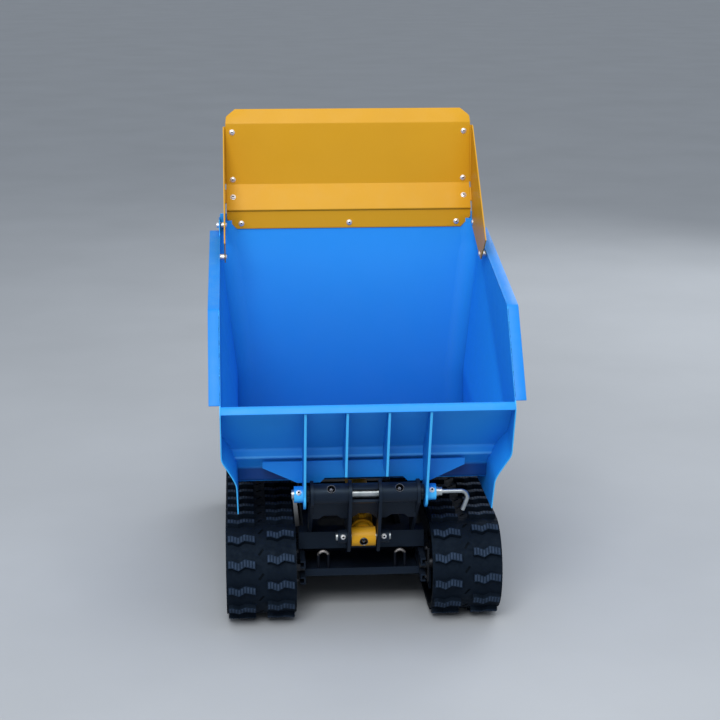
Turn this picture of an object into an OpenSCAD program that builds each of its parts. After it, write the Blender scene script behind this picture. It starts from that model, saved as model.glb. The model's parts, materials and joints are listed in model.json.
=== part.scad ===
// Tracked power carrier with a front-tipping skip, about 1.6 m long.
// Millimetres. +Z is up, the front faces -Y, the ground is Z = 0.
// Modules draw in machine places, where Y = 0 is the foremost point of the belts.
// in_frame() then centres the whole machine over the origin.

/* [Tracks] */
// Distance between the centre lines of the two belts
track_gauge = 530; // [520:2:580]
// Width of a belt
belt_w = 180; // [176:2:196]
// Length of one belt link
link_pitch = 60; // [59:0.5:64]
// Links on each straight run of a belt
run_links = 14; // [14:1:16]
// Thickness of a belt under its lugs
belt_t = 12; // [10:0.5:14]
// Height of a tread lug
lug_h = 12.4; // [8:0.2:16]
// Length of a lug along the belt
lug_land = 20; // [16:1:30]
// Width of the plain groove along the middle of a belt
groove_w = 30; // [24:1:36]
// Diameter of a bottom roller
roller_d = 80; // [76:1:84]
// Distance between bottom rollers
roller_step = 200; // [180:5:210]

/* [Undercarriage] */
// Outside width of a track frame
frame_w = 164; // [160:1:170]
// Plate thickness of a track frame
frame_t = 6; // [4:0.5:7]
// Travel of an idler yoke for tensioning
tension_travel = 20; // [10:1:25]
// Distance of a chassis rail from the middle
rail_x = 130; // [120:1:136]
// Width of a chassis rail
rail_w = 40; // [30:1:44]
// Height of a chassis rail
rail_h = 57; // [50:1:80]
// Height of an axle beam
beam_h = 50; // [46:1:60]
// Length of an axle beam's section along the machine
beam_l = 60; // [40:1:80]
// Height of the front cross member
cross_h = 46; // [40:1:54]
// Depth of the front cross member along the machine
cross_l = 50; // [40:1:60]
// Thickness of the belly plate
belly_t = 4; // [3:0.5:6]

/* [Pivot] */
// Distance of the pivot axis behind the front of the belts
pivot_y = 25; // [15:1:35]
// Height of the pivot axis over the front cross member
pivot_up = 148; // [143:1:168]
// Diameter of the pivot pin
pin_d = 25; // [20:1:30]
// Outside diameter of a bearing tube
tube_d = 52; // [44:1:58]
// Thickness of the pivot bracket's plates
plate_t = 8; // [6:0.5:10]
// Distance of an outer bracket plate from the middle
outer_plate_x = 135; // [128:1:140]
// Distance of an inner bracket plate from the middle
inner_plate_x = 38; // [37:1:44]
// Distance of a pivot ear from the middle
ear_x = 154; // [152:1:160]
// Thickness of the ears and ribs
ear_t = 6; // [4:0.5:8]
// Diameter of a pin boss
boss_d = 42; // [38:1:48]
// Length of a pin boss
boss_l = 23; // [18:1:26]
// Diameter of the bent handle of the pivot pin
handle_rod_d = 11; // [8:0.5:14]
// Radial clearance of pins in their bores
run_fit = 0.05; // [0.02:0.01:0.1]

/* [Ram] */
// Distance of the ram's base pin behind the pivot
ram_back = 60; // [55:1:65]
// Distance of the ram's base pin below the pivot
ram_drop = 138; // [132:1:142]
// Distance of the ram's rod pin behind the pivot
rod_back = 455; // [440:1:470]
// Distance of the ram's rod pin below the pivot
rod_drop = 54; // [50:1:60]
// Diameter of both ram pins
ram_pin_d = 20; // [16:1:24]
// Diameter of the ram's end eyes
eye_d = 50; // [44:1:54]
// Outside diameter of the ram's barrel
barrel_d = 60; // [56:1:64]
// Bore of the ram's barrel
ram_bore = 50; // [44:1:50]
// Diameter of the ram's rod
rod_d = 30; // [22:1:34]

/* [Skip] */
// Outside width of the skip between its rims
skip_w = 724; // [716:2:760]
// Sheet thickness of the skip
skip_t = 3; // [2:0.5:4]
// Length of the floor behind the pivot
floor_l = 565; // [550:5:600]
// Height of the floor's underside over the pivot axis
floor_up = 9; // [6:1:14]
// Height of the lip's crest over the pivot axis
lip_up = 267; // [255:1:280]
// Distance of the lip's crest ahead of the pivot axis
lip_reach = 114; // [105:1:120]
// Height of the rim's bend over the pivot axis
rim_bend_up = 473; // [460:1:490]
// Height of the rim's rear end over the pivot axis
rim_rear_up = 572; // [560:1:590]
// Width of the rim flange
flange_w = 26; // [20:1:32]
// Height of the rear wall over the pivot axis
rear_up = 619; // [612:1:625]

/* [Guard] */
// Width of the guard panel
guard_w = 680; // [664:2:684]
// Height of the guard's crest over the pivot axis
guard_up = 900; // [860:2:940]
// Sheet thickness of the guard
guard_t = 3; // [2:0.5:4]
// Distance by which the upper panel stands behind the lower strip
guard_set_back = 37; // [25:1:40]
// Reach of a guard wing ahead of the lower strip
wing_reach = 272; // [240:2:300]

/* [Rear body] */
// Width of the rear body
body_w = 540; // [530:2:580]
// Length of the rear body
body_l = 375; // [370:1:400]
// Height of the rear body
body_h = 514; // [505:1:560]
// Sheet thickness of the rear body
body_t = 3; // [2:0.5:4]
// Radius of the body's upright corners
body_r = 25; // [15:1:35]
// Height of the deck's supports on the chassis rails
deck_up = 71; // [66:1:90]

/* [Handles] */
// Distance of a handle arm inside the body's side
arm_inset = 35; // [30:1:70]
// Diameter of a handle tube
arm_d = 32; // [28:1:34]
// Rise of a handle's rear stretch in degrees
arm_rise = 12; // [5:1:15]
// Length of a handle's rear stretch
arm_l = 448; // [420:2:480]
// Length of a grip
grip_l = 130; // [115:1:140]
// Diameter of a grip
grip_d = 40; // [37:1:44]

/* [Hidden] */
$fn = 64;

seat_gap = 0.3;
elbow_step = 0.1;
sprocket_teeth = 12;
link_deg = 360 / sprocket_teeth;
half_turn = sprocket_teeth / 2;
loop_links = 2 * run_links + sprocket_teeth;
pitch_r = link_pitch * sprocket_teeth / (2 * PI);
belt_in_r = pitch_r - belt_t / 2;
belt_out_r = pitch_r + belt_t / 2;
wrap_r = belt_out_r + lug_h;
axle_z = wrap_r;
idler_y = wrap_r;
sprocket_y = idler_y + run_links * link_pitch;
track_x = track_gauge / 2;

// Places of the belt pattern, in links past the front end of the lower run
left_phase = 0.22;
right_phase = 0.14;
column_lag = 0.2;
lug_margin = 5;
lug_wave = [[0, 0], [0.14, 1], [0.38, -6], [0.62, 4], [1, -2]];
lug_len = (belt_w - groove_w) / 2 - lug_margin;
lug_root = 3;
horn_in = 20;
horn_w = 12;
horn_l = 18;
horn_h = 18;
pocket_w = 30;
pocket_l = 22;
pocket_depth = 8.6;
tooth_w = 26;
tooth_h = 8;

// Wheels and their frame
roller_z = axle_z - belt_in_r + seat_gap + roller_d / 2;
roller_mid_y = (idler_y + sprocket_y) / 2;
roller_ys = [for (k = [-1 : 1]) roller_mid_y + k * roller_step];
tread_in = 36;
tread_out = 66;
axle_d = 20;
idler_axle_d = 30;
shaft_d = 35;
frame_half = frame_w / 2;
frame_in = frame_half - frame_t;
frame_web_z = axle_z + 23;
frame_low_z = roller_z - 24;
frame_y0 = idler_y + 42;
frame_y1 = sprocket_y - 68;
web_y0 = idler_y + belt_in_r + tension_travel + 8;
web_y1 = sprocket_y - belt_in_r - tooth_h - 8;
motor_plate_y1 = sprocket_y + 67;
motor_plate_h = 140;
frame_side_x = track_x - frame_half;
gearbox_d = 130;
gearbox_l = 60;
motor_d = 100;
motor_l = 95;
guide_out = 150;
guide_in = 163;
keeper_x = 171;
keeper_t = 5;
keeper_h = 94;
guide_block_y = idler_y + 80;
screw_d = 20;
screw_plate_y = roller_ys[0] + roller_d / 2 + 27;
screw_plate_t = 12;
screw_plate_z = roller_z + roller_d / 2 + 2;

// Chassis
beam_z = axle_z - 25;
beam_top = beam_z + beam_h;
beam_ys = [roller_ys[0] - 50, roller_ys[2] - 10];
rail_top = beam_top + rail_h;
cross_y = 150;
cross_z = beam_top + 14;
cross_top = cross_z + cross_h;
cross_half = keeper_x - 6;
saddle_h = 14;
rail_y0 = cross_y + cross_l;
rail_y1 = sprocket_y - gearbox_d / 2 - 13;
belly_y0 = 128;
belly_lip = 20;
belly_half = 150;
eye_ring_x = 101;
eye_ring_r = 13;
eye_ring_d = 8;
eye_ring_up = 47;
eye_ring_y = belly_y0 + 12;

// Pivot and ram
pivot = [pivot_y, cross_top + pivot_up];
plate_r = 34;
ram_base = pivot + [ram_back, -ram_drop];
ram_rod_end = pivot + [rod_back, -rod_drop];
ram_len = norm(ram_rod_end - ram_base);
ram_deg = atan2(ram_rod_end[1] - ram_base[1], ram_rod_end[0] - ram_base[0]);
base_eye_gap = 3;
base_eye_w = 2 * (inner_plate_x - plate_t / 2 - base_eye_gap);
base_boss_d = 36;
base_boss_l = 24;
gland_back = 60;
gland_l = 30;
piston_l = 25;
lug_in = 22;
lug_plate_t = 8;
lug_plate_r = 28;
lug_foot = 50;
rod_eye_w = 40;
cross_bolt_d = 8;
web_top = pivot + [3, -tube_d / 2 + 1];
web_low = pivot + [42, -82];
web_notch_h = 14;

// Skip, as outlines in Y and Z
floor_z = pivot[1] + floor_up;
lip_crest = pivot + [-lip_reach, lip_up];
lip_low = lip_crest + [-14, -19];
slope_end = pivot + [35, 112];
band_end = pivot + [41, 86];
strip_end = pivot + [74, 53];
floor_front = [strip_end[0] + 4, floor_z];
floor_rear = [pivot[0] + floor_l, floor_z];
rear_bend = [floor_rear[0] + 40, pivot[1] + 534];
rear_crest = [rear_bend[0], pivot[1] + rear_up];
wrap_line = [lip_low, lip_crest, slope_end, band_end, strip_end, floor_front, floor_rear, rear_bend,
             rear_crest];
edge_top = lip_low + [4, -2];
skirt_z = pivot[1] - 41;
edge_low = [pivot[0] - 22, skirt_z];
rim_front = lip_crest + [0, 2];
rim_bend = pivot + [41, rim_bend_up];
rim_rear = [rear_bend[0] - 2, pivot[1] + rim_rear_up];
tab_l = 46;
tab_top = pivot[1] + rear_up - 10;
tab_front = rim_rear + (rim_bend - rim_rear) * tab_l / (rim_rear[0] - rim_bend[0]);
side_outline = [edge_low, edge_top, rim_front, rim_bend, tab_front, [tab_front[0], tab_top],
                [rear_bend[0], tab_top], rear_bend, floor_rear, [floor_rear[0] - 10, skirt_z]];
skip_half = skip_w / 2;
skirt_in = 39;
// A side sheet has two folds that climb from the front to the rear: at each end of the skip, the lower
// fold's distance inside the side and its height, and the upper fold's height
skip_y0 = lip_low[0] - 6;
skip_y1 = rear_bend[0] + 6;
tuck = [36, 42];
tuck_low = [26, 195];
tuck_high = [77, 572];
// One side's section in X and Z at the front or rear, from the skirt's foot to above the rim
function side_line(end) = [[skip_half - skirt_in, skirt_z],
                           [skip_half - tuck[end], pivot[1] + tuck_low[end]],
                           [skip_half, pivot[1] + tuck_high[end]],
                           [skip_half, pivot[1] + rear_up + 20]];
rib_x = ear_x / 3;
rib_low_z = pivot[1] + 62;
gusset_top_z = pivot[1] + 76;
gusset_low_z = pivot[1] + 19;
gusset_top_half = 258;
gusset_low_half = 170;
gusset_end_h = 16;

// Guard, as an outline in Y and Z of its rear face
guard_y = rear_bend[0] - skip_t;
guard_low_z = pivot[1] + 576;
guard_fold_a = pivot[1] + 637;
guard_fold_b = pivot[1] + 694;
guard_fold_c = pivot[1] + guard_up - 37;
guard_back_y = guard_y + guard_set_back;
guard_line = [[guard_y, guard_low_z], [guard_y, guard_fold_a], [guard_back_y, guard_fold_b],
              [guard_back_y, guard_fold_c], [guard_back_y + 20, pivot[1] + guard_up]];
guard_half = guard_w / 2;
wing_t = guard_t;
wing_gap = 4;
wing_x = guard_half + wing_gap;
wing_flange = 36;
guard_bolt_d = 8;
bolt_seat = 0.02;
hole_gap = 0.1;
panel_bolt_x = guard_half - 18;
panel_bolt_zs = [guard_fold_c - 24, guard_fold_b + 14];
low_bolt_xs = [-300, 0, 300];
low_bolt_z = guard_low_z + 15;
strip_deg = atan2(guard_fold_b - guard_fold_a, guard_set_back);
strip_l = norm([guard_set_back, guard_fold_b - guard_fold_a]);
strip_bolt_up = strip_l * 0.42;
wing_bolts = [[guard_y - 24, tab_top - 18], [guard_y - 170, pivot[1] + 529]];
wing_tip = [guard_y - 186, pivot[1] + 517];
wing_nose = [guard_y - wing_reach, pivot[1] + 585];
wing_top_z = guard_fold_c - 8;

// Rear body, deck and skip rest
body_y0 = rear_bend[0] + 25;
body_y1 = body_y0 + body_l;
deck_t = 6;
deck_z = rail_top + deck_up;
body_z0 = deck_z + deck_t;
body_z1 = body_z0 + body_h;
body_half = body_w / 2;
door_half = body_half - 27;
door_hinge = [-body_half + 23, body_y1 + 8];
hinge_d = 14;
hinge_pin_d = 8;
hinge_l = 24;
hinge_leaf_t = 6;
hinge_zs = [body_z0 + 90, body_z1 - 110];
latch_x = door_half - 35;
latch_z = (body_z0 + body_z1) / 2;
latch_d = 14;
rest_y = ram_rod_end[0] + lug_foot + 4;
rest_l = 40;
rest_top = floor_z - 30;
buffer_d = 46;
console_half = 190;
console_front = [body_y0 + 235, body_z1 + body_t + 105];
console_rear = [body_y1 - 4, body_z1 + body_t + 45];
console_deg = atan2(console_front[1] - console_rear[1], console_rear[0] - console_front[0]);
stop_x = -130;
tip_lever_x = -45;
gauge_x = 45;
key_x = 130;
stop_d = 40;
stop_stem_d = 22;
key_d = 8;
tip_lever_d = 10;
tip_pin_d = 8;
tip_pivot_depth = 14;
lever_slot_w = 18;

// Handles
arm_x = body_half - arm_inset;
arm_bend_r = 90;
arm_y = body_y1 - 45;
arm_z = body_z1 + body_t;
arm_up = 102;
bend_deg = 90 - arm_rise;
arm_bend_mid = [arm_y + arm_bend_r, arm_z + arm_up];
arm_start = arm_bend_mid + arm_bend_r * [-cos(bend_deg), sin(bend_deg)];
arm_end = arm_start + arm_l * [cos(arm_rise), sin(arm_rise)];
grip_cap = 5;
lever_back = 165;
lever_drop = 34;
lever_w = 10;
lever_pin_d = 6;
lever_pin = [-lever_back, -lever_drop];
brace_d = 25;
brace_back = 60;

machine_front = min([for (p = sheet(wrap_line, skip_t)) p[0]]);
machine_rear = arm_end[0] + grip_cap * cos(arm_rise) + grip_d / 2 * sin(arm_rise);

// Colours as the photograph shows them
skip_blue = "dodgerblue";
guard_amber = "goldenrod";
frame_black = [0.14, 0.15, 0.18];
belt_black = [0.11, 0.12, 0.14];
zinc = "lightsteelblue";

// General helpers

// Moves machine places to the part's own frame
module in_frame() translate([0, -(machine_front + machine_rear) / 2, 0]) children();

// Draws on the right-hand side, or mirrored on the left
module on_side(s) {
  if (s == "left") mirror([1, 0, 0]) children();
  else children();
}

module both_sides() {
  children();
  mirror([1, 0, 0]) children();
}

// Extrudes an outline in Y and Z along X, from x over the width w
module across(x, w) translate([x, 0, 0]) rotate([90, 0, 90]) linear_extrude(w) children();

// Extrudes an outline in X and Z along Y, from y over the length l
module along(y, l) translate([0, y + l, 0]) rotate([90, 0, 0]) linear_extrude(l) children();

// A round bar along X from x0 to x1, centred on p in Y and Z
module bar_x(d, x0, x1, p) translate([x0, p[0], p[1]]) rotate([0, 90, 0]) cylinder(d = d, h = x1 - x0);

// A box centred on X = 0
module wide_box(half, y, l, z, h) translate([-half, y, z]) cube([2 * half, l, h]);

// A bolt along +Z with its washer's seat at 0: hex head above, shank below
module bolt(d, shank) {
  translate([0, 0, d * 0.2]) cylinder(d = d * 1.8, h = d * 0.65, $fn = 6);
  cylinder(d = d * 2.1, h = d * 0.2);
  translate([0, 0, -shank]) cylinder(d = d, h = shank);
}

// A bend in a round rod in Y and Z about p, from a degrees over the sweep. It is a hair thinner
// than the rod and runs a little way into the straight stretches at both ends.
module elbow(d, r, p, a, sweep) {
  overlap = 1;
  translate([0, p[0], p[1]]) rotate([90, 0, 90]) rotate(a - overlap)
    rotate_extrude(angle = sweep + 2 * overlap) translate([r, 0]) circle(d = d - elbow_step);
}

// Sheet metal: a bent line of points given a thickness to its left
function unit(v) = v / norm(v);
function left_of(v) = [-v[1], v[0]];
function run_at(p, i) = unit(p[i + 1] - p[i]);
function corner(p, i, t) =
  let (a = left_of(run_at(p, max(i - 1, 0))), b = left_of(run_at(p, min(i, len(p) - 2))), n = unit(a + b))
  p[i] + n * t / (n * a);
function sheet(p, t) = concat(p, [for (i = [len(p) - 1 : -1 : 0]) corner(p, i, t)]);

// Tracks

// Direction of the belt's outer face and the place on its pitch line, s links round the loop
function loop_deg(s) =
  s < run_links ? -90
  : s < run_links + half_turn ? -90 + (s - run_links) * link_deg
  : s < 2 * run_links + half_turn ? 90
  : 90 + (s - 2 * run_links - half_turn) * link_deg;
function wrap_point(y, s) = [y, axle_z] + pitch_r * [cos(loop_deg(s)), sin(loop_deg(s))];
function loop_point(s) =
  s < run_links ? [idler_y + s * link_pitch, axle_z - pitch_r]
  : s < run_links + half_turn ? wrap_point(sprocket_y, s)
  : s < 2 * run_links + half_turn ? [sprocket_y - (s - run_links - half_turn) * link_pitch, axle_z + pitch_r]
  : wrap_point(idler_y, s);

module on_loop(s) {
  p = loop_point(s);
  translate([0, p[0], p[1]]) rotate([loop_deg(s) - 90, 0, 0]) children();
}

module every_link(phase) {
  for (k = [0 : loop_links - 1])
    on_loop((k + phase + loop_links) % loop_links) children();
}

// One wavy tread lug from x outwards over half the belt
module lug(x) {
  line = [for (w = lug_wave) [x + w[0] * lug_len, w[1]]];
  far_edge = [for (p = line) p + [0, lug_land / 2]];
  near_edge = [for (i = [len(line) - 1 : -1 : 0]) line[i] - [0, lug_land / 2]];
  translate([0, 0, belt_t / 2 - lug_root])
    linear_extrude(lug_h + lug_root)
      polygon(concat(far_edge, near_edge));
}

module horn(x) translate([x, -horn_l / 2, -belt_t / 2 - horn_h]) cube([horn_w, horn_l, horn_h + 2]);

module stadium(r) {
  translate([idler_y, axle_z]) circle(r);
  translate([sprocket_y, axle_z]) circle(r);
  translate([idler_y, axle_z - r]) square([sprocket_y - idler_y, 2 * r]);
}

module belt(x, phase) {
  slit = [6, 20, 5];
  relief = 0.6;
  color(belt_black) translate([x, 0, 0]) difference() {
    union() {
      across(-belt_w / 2, belt_w) difference() {
        stadium(belt_out_r);
        stadium(belt_in_r);
      }
      every_link(phase) lug(-belt_w / 2 + lug_margin);
      every_link(phase - column_lag) lug(groove_w / 2);
      every_link(phase) {
        horn(horn_in);
        horn(-horn_in - horn_w);
      }
    }
    every_link(phase + 0.5)
      translate([-pocket_w / 2, -pocket_l / 2, -belt_t / 2 - 1])
        cube([pocket_w, pocket_l, pocket_depth + 1]);
    every_link(phase + 0.5)
      translate([0, 0, belt_t / 2 - 2]) rotate(-35) translate([-slit[0] / 2, -slit[1] / 2, 0]) cube(slit);
    // Room for the teeth to turn, because this belt does not run round with them
    bar_x(2 * (belt_in_r + pocket_depth + relief), -pocket_w / 2 - relief, pocket_w / 2 + relief,
          [sprocket_y, axle_z]);
    translate([-belt_w, -wrap_r, -wrap_r]) cube([2 * belt_w, sprocket_y + 3 * wrap_r, wrap_r]);
  }
}

// Drive sprocket: a toothed disc with a hub and the shaft that enters the gear motor
module sprocket(side, phase) {
  root = belt_in_r - seat_gap;
  tip = belt_in_r + tooth_h;
  color(frame_black) translate([side * track_x, 0, 0]) difference() {
    union() {
      across(-tooth_w / 2, tooth_w) translate([sprocket_y, axle_z]) {
        circle(root);
        for (k = [0 : sprocket_teeth - 1])
          rotate((k + phase + 0.5) * link_deg)
            polygon([[root - 6, -8], [tip, -4.5], [tip, 4.5], [root - 6, 8]]);
      }
      scale_x(side) bar_x(90, -frame_in + 8, tooth_w / 2 + 10, [sprocket_y, axle_z]);
      scale_x(side) bar_x(shaft_d, -frame_half - 22, 0, [sprocket_y, axle_z]);
    }
    for (k = [0 : 5])
      rotate_at([sprocket_y, axle_z], k * 60) bar_x(26, -tooth_w, tooth_w, [sprocket_y + 75, axle_z]);
  }
}

// Mirrors in X for the left-hand side, where side is -1
module scale_x(side) {
  if (side < 0) mirror([1, 0, 0]) children();
  else children();
}

module rotate_at(p, a) translate([0, p[0], p[1]]) rotate([a, 0, 0]) translate([0, -p[0], -p[1]]) children();

// Idler: two treads on a drum, with lightening recesses, turning on the yoke's axle
module idler(s) {
  c = [idler_y, axle_z];
  rim = belt_in_r - seat_gap;
  color(frame_black) on_side(s) translate([track_x, 0, 0]) difference() {
    union() {
      bar_x(2 * rim, -tread_out, -tread_in, c);
      bar_x(2 * rim, tread_in, tread_out, c);
      bar_x(2 * (belt_in_r - horn_h - 6), -tread_in, tread_in, c);
    }
    for (side = [-1, 1])
      scale_x(side) difference() {
        bar_x(2 * rim - 24, tread_in + 8, tread_out + 1, c);
        bar_x(70, tread_in, tread_out + 2, c);
      }
    bar_x(idler_axle_d + 2 * run_fit, -tread_out - 1, tread_out + 1, c);
  }
}

// Idler yoke: fork arms and a block in the frame, the axle, its tension screw and the axle keeper
module idler_yoke(s) {
  c = [idler_y, axle_z];
  arm_t = 6;
  arm_in = frame_in - seat_gap - arm_t;
  low = axle_z - 17;
  h = frame_web_z - frame_t - seat_gap - low;
  half_axle = 20;
  block_y = frame_y0 + 115;
  block_l = 40;
  screw_end = screw_plate_y + screw_plate_t + 14;
  color(zinc) on_side(s) {
    translate([track_x, 0, 0]) {
      for (side = [-1, 1])
        scale_x(side) translate([arm_in, idler_y - half_axle, low])
          cube([arm_t, block_y + block_l - idler_y + half_axle, h]);
      wide_box(arm_in + 1, block_y, block_l, low, h);
      bar_x(idler_axle_d, -arm_in - 1, arm_in + 1, c);
      translate([0, block_y + block_l - 1, axle_z]) rotate([-90, 0, 0])
        cylinder(d = screw_d, h = screw_end - block_y - block_l + 1);
    }
    bar_x(idler_axle_d, keeper_x, track_x - arm_in - 1, c);
    translate([keeper_x, idler_y - half_axle, axle_z - keeper_h / 2])
      cube([keeper_t, 2 * half_axle, keeper_h]);
    translate([guide_out + 1, idler_y - 16, axle_z - 9]) cube([keeper_x - guide_out, 32, 18]);
    for (z = [-1, 1])
      translate([keeper_x, idler_y, axle_z + z * (keeper_h / 2 - 7)]) rotate([0, -90, 0]) bolt(6, 1);
  }
}

// A bottom roller with two treads, turning on its axle
module roller(s, k) {
  c = [roller_ys[k - 1], roller_z];
  color(frame_black) on_side(s) translate([track_x, 0, 0]) difference() {
    union() {
      bar_x(roller_d, -tread_out - 4, -tread_in, c);
      bar_x(roller_d, tread_in, tread_out + 4, c);
      bar_x(2 * (roller_d / 2 - horn_h - 4), -tread_in, tread_in, c);
      bar_x(34, -frame_in + seat_gap, frame_in - seat_gap, c);
    }
    bar_x(axle_d + 2 * run_fit, -frame_half, frame_half, c);
  }
}

module roller_axles() {
  color(zinc) both_sides() translate([track_x, 0, 0])
    for (y = roller_ys) {
      bar_x(axle_d, -frame_half, frame_half, [y, roller_z]);
      bar_x(32, frame_half, frame_half + 5, [y, roller_z]);
      bar_x(32, -frame_half - 5, -frame_half, [y, roller_z]);
    }
}

// Track frame: an inverted channel over the rollers, the motor plate and the idler guide rails
module track_frame(s) {
  h = frame_web_z - frame_low_z;
  wall = 4;
  color(frame_black) on_side(s) difference() {
    union() {
      translate([track_x, 0, 0]) {
        for (side = [-1, 1])
          scale_x(side) translate([frame_in, frame_y0, frame_low_z]) cube([frame_t, frame_y1 - frame_y0, h]);
        wide_box(frame_in + 1, web_y0, web_y1 - web_y0, frame_web_z - frame_t, frame_t);
        wide_box(frame_in + 1, screw_plate_y, screw_plate_t, screw_plate_z, frame_web_z - screw_plate_z);
        translate([-frame_half, frame_y1 - 1, axle_z - motor_plate_h / 2])
          cube([frame_t, motor_plate_y1 - frame_y1 + 1, motor_plate_h]);
      }
      translate([guide_out, guide_block_y, axle_z - 36]) cube([frame_side_x - guide_out, 30, 72]);
      for (z = [-32, 12])
        translate([guide_out, idler_y - 55, axle_z + z]) difference() {
          cube([guide_in - guide_out, guide_block_y - idler_y + 56, 20]);
          translate([wall, -1, wall])
            cube([guide_in - guide_out, guide_block_y - idler_y + 40, 20 - 2 * wall]);
        }
    }
    for (y = roller_ys)
      bar_x(axle_d + 2 * hole_gap, track_x - frame_half - 1, track_x + frame_half + 1, [y, roller_z]);
    bar_x(shaft_d + 8, frame_side_x - 1, track_x, [sprocket_y, axle_z]);
    translate([track_x, screw_plate_y - 1, axle_z]) rotate([-90, 0, 0])
      cylinder(d = screw_d + 2 * run_fit, h = screw_plate_t + 2);
  }
}

// Gear motors: a gearbox on each motor plate with an electric motor behind it
module gear_motors() {
  c = [sprocket_y, axle_z];
  color("dimgray") both_sides() difference() {
    union() {
      bar_x(gearbox_d, frame_side_x - gearbox_l, frame_side_x, c);
      bar_x(motor_d, frame_side_x - gearbox_l - motor_l, frame_side_x - gearbox_l, c);
      for (k = [0 : 11])
        rotate_at(c, k * 30)
          translate([frame_side_x - gearbox_l - motor_l + 12, sprocket_y - 2, axle_z + motor_d / 2 - 2])
            cube([motor_l - 24, 4, 8]);
    }
    bar_x(shaft_d + 2 * run_fit, frame_side_x - 24, frame_side_x + 1, c);
  }
}

// Chassis

module chassis_rails() {
  color(frame_black) both_sides()
    translate([rail_x - rail_w / 2, rail_y0, beam_top]) cube([rail_w, rail_y1 - rail_y0, rail_h]);
}

module cross_members() {
  color(frame_black) {
    difference() {
      wide_box(cross_half, cross_y, cross_l, cross_z, cross_h);
      wide_box(barrel_d / 2 + 8, cross_y - 1, cross_l + 2, cross_top - saddle_h, 2 * saddle_h);
    }
    for (y = beam_ys)
      wide_box(frame_side_x, y, beam_l, beam_z, beam_h);
  }
}

// Belly plate under the axle beams, its front edge turned up
module belly_plate() {
  low = beam_z - belly_t;
  line = [[belly_y0, low + belly_lip], [belly_y0, low], [rail_y1, low]];
  color(frame_black) across(-belly_half, 2 * belly_half) polygon(sheet(line, belly_t));
}

// Two bent-rod eyes on the belly plate for lashing the machine down
module lashing_eyes() {
  top_z = beam_z + eye_ring_up;
  color(zinc) both_sides() translate([eye_ring_x, eye_ring_y, 0]) {
    translate([0, 0, top_z]) rotate([90, 0, 0])
      rotate_extrude(angle = 180) translate([eye_ring_r, 0]) circle(d = eye_ring_d);
    for (x = [-eye_ring_r, eye_ring_r])
      translate([x, 0, beam_z]) cylinder(d = eye_ring_d, h = top_z - beam_z);
  }
}

// Pivot bracket and ram

// A plate's outline from the bearing tube down to its foot
module bracket_outline(foot) {
  translate(pivot) circle(plate_r);
  polygon(concat([pivot + [-plate_r * 0.93, -plate_r * 0.37]], foot,
                 [[cross_y + cross_l, cross_top + 25], pivot + [plate_r * 0.8, plate_r * 0.6]]));
}

module bracket_plate(x, foot) across(x - plate_t / 2, plate_t) bracket_outline(foot);

// The web under the tubes, with a trapezoid notch in each bay's lower edge
module bracket_web() {
  run = web_low - web_top;
  slope = atan2(run[1], run[0]);
  l = norm(run);
  bay = (outer_plate_x - inner_plate_x) / 2;
  module notch(x, half, h)
    polygon([[x - half - h, l + 1], [x - half, l - h], [x + half, l - h], [x + half + h, l + 1]]);
  translate([0, web_top[0], web_top[1]]) rotate([slope, 0, 0]) linear_extrude(plate_t) difference() {
    translate([-outer_plate_x, 0]) square([2 * outer_plate_x, l]);
    for (x = [-1, 1])
      notch(x * (inner_plate_x + bay), 16, web_notch_h);
    notch(0, 13, web_notch_h + 8);
  }
}

module pivot_bracket() {
  inner_foot = [ram_base + [-25, -18], ram_base + [-12, -38], [cross_y, cross_z + 14], [cross_y, cross_top],
                [cross_y + cross_l, cross_top]];
  outer_foot = [[cross_y, cross_top], [cross_y + cross_l, cross_top]];
  color(frame_black) difference() {
    union() {
      both_sides() {
        bracket_plate(outer_plate_x, outer_foot);
        bracket_plate(inner_plate_x, inner_foot);
        bar_x(tube_d, inner_plate_x, outer_plate_x, pivot);
        bar_x(base_boss_d, inner_plate_x, inner_plate_x + plate_t / 2 + base_boss_l, ram_base);
      }
      bracket_web();
    }
    bar_x(pin_d + 2 * run_fit, -ear_x, ear_x, pivot);
    bar_x(ram_pin_d + 2 * run_fit, -ear_x, ear_x, ram_base);
    both_sides() {
      on_base_boss() cylinder(d = cross_bolt_d + 2 * hole_gap, h = 4 * base_boss_d, center = true);
      on_tube() translate([0, 0, -8]) cylinder(d = 14, h = 20);
    }
  }
}

// Places the lock bolt of the base pin on its boss, facing the front
module on_base_boss() {
  translate([inner_plate_x + plate_t / 2 + base_boss_l * 0.45, ram_base[0], ram_base[1]])
    rotate([75, 0, 0]) children();
}

// Places a grease nipple on a bearing tube, in a recess facing up and forward
module on_tube() {
  translate([(inner_plate_x + outer_plate_x) / 2, pivot[0], pivot[1]])
    rotate([45, 0, 0]) translate([0, 0, tube_d / 2]) children();
}

module nipple() {
  cylinder(d = 9, h = 3, $fn = 6);
  cylinder(d = 5, h = 7);
}

module bracket_grease_nipples() {
  color(zinc) both_sides() on_tube() translate([0, 0, -8]) nipple();
}

module ram_base_pin() {
  half = inner_plate_x + plate_t / 2 + base_boss_l + 5;
  color(zinc) difference() {
    bar_x(ram_pin_d, -half, half, ram_base);
    both_sides() on_base_boss() cylinder(d = cross_bolt_d + 2 * hole_gap, h = 2 * ram_pin_d, center = true);
  }
}

module base_pin_bolts() {
  color(zinc) both_sides() on_base_boss()
    translate([0, 0, base_boss_d / 2]) bolt(cross_bolt_d, base_boss_d / 2 + ram_pin_d / 2 + 4);
}

// Places children along the ram: +Z runs from the base pin to the rod pin
module along_ram() translate([0, ram_base[0], ram_base[1]]) rotate([ram_deg - 90, 0, 0]) children();

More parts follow.
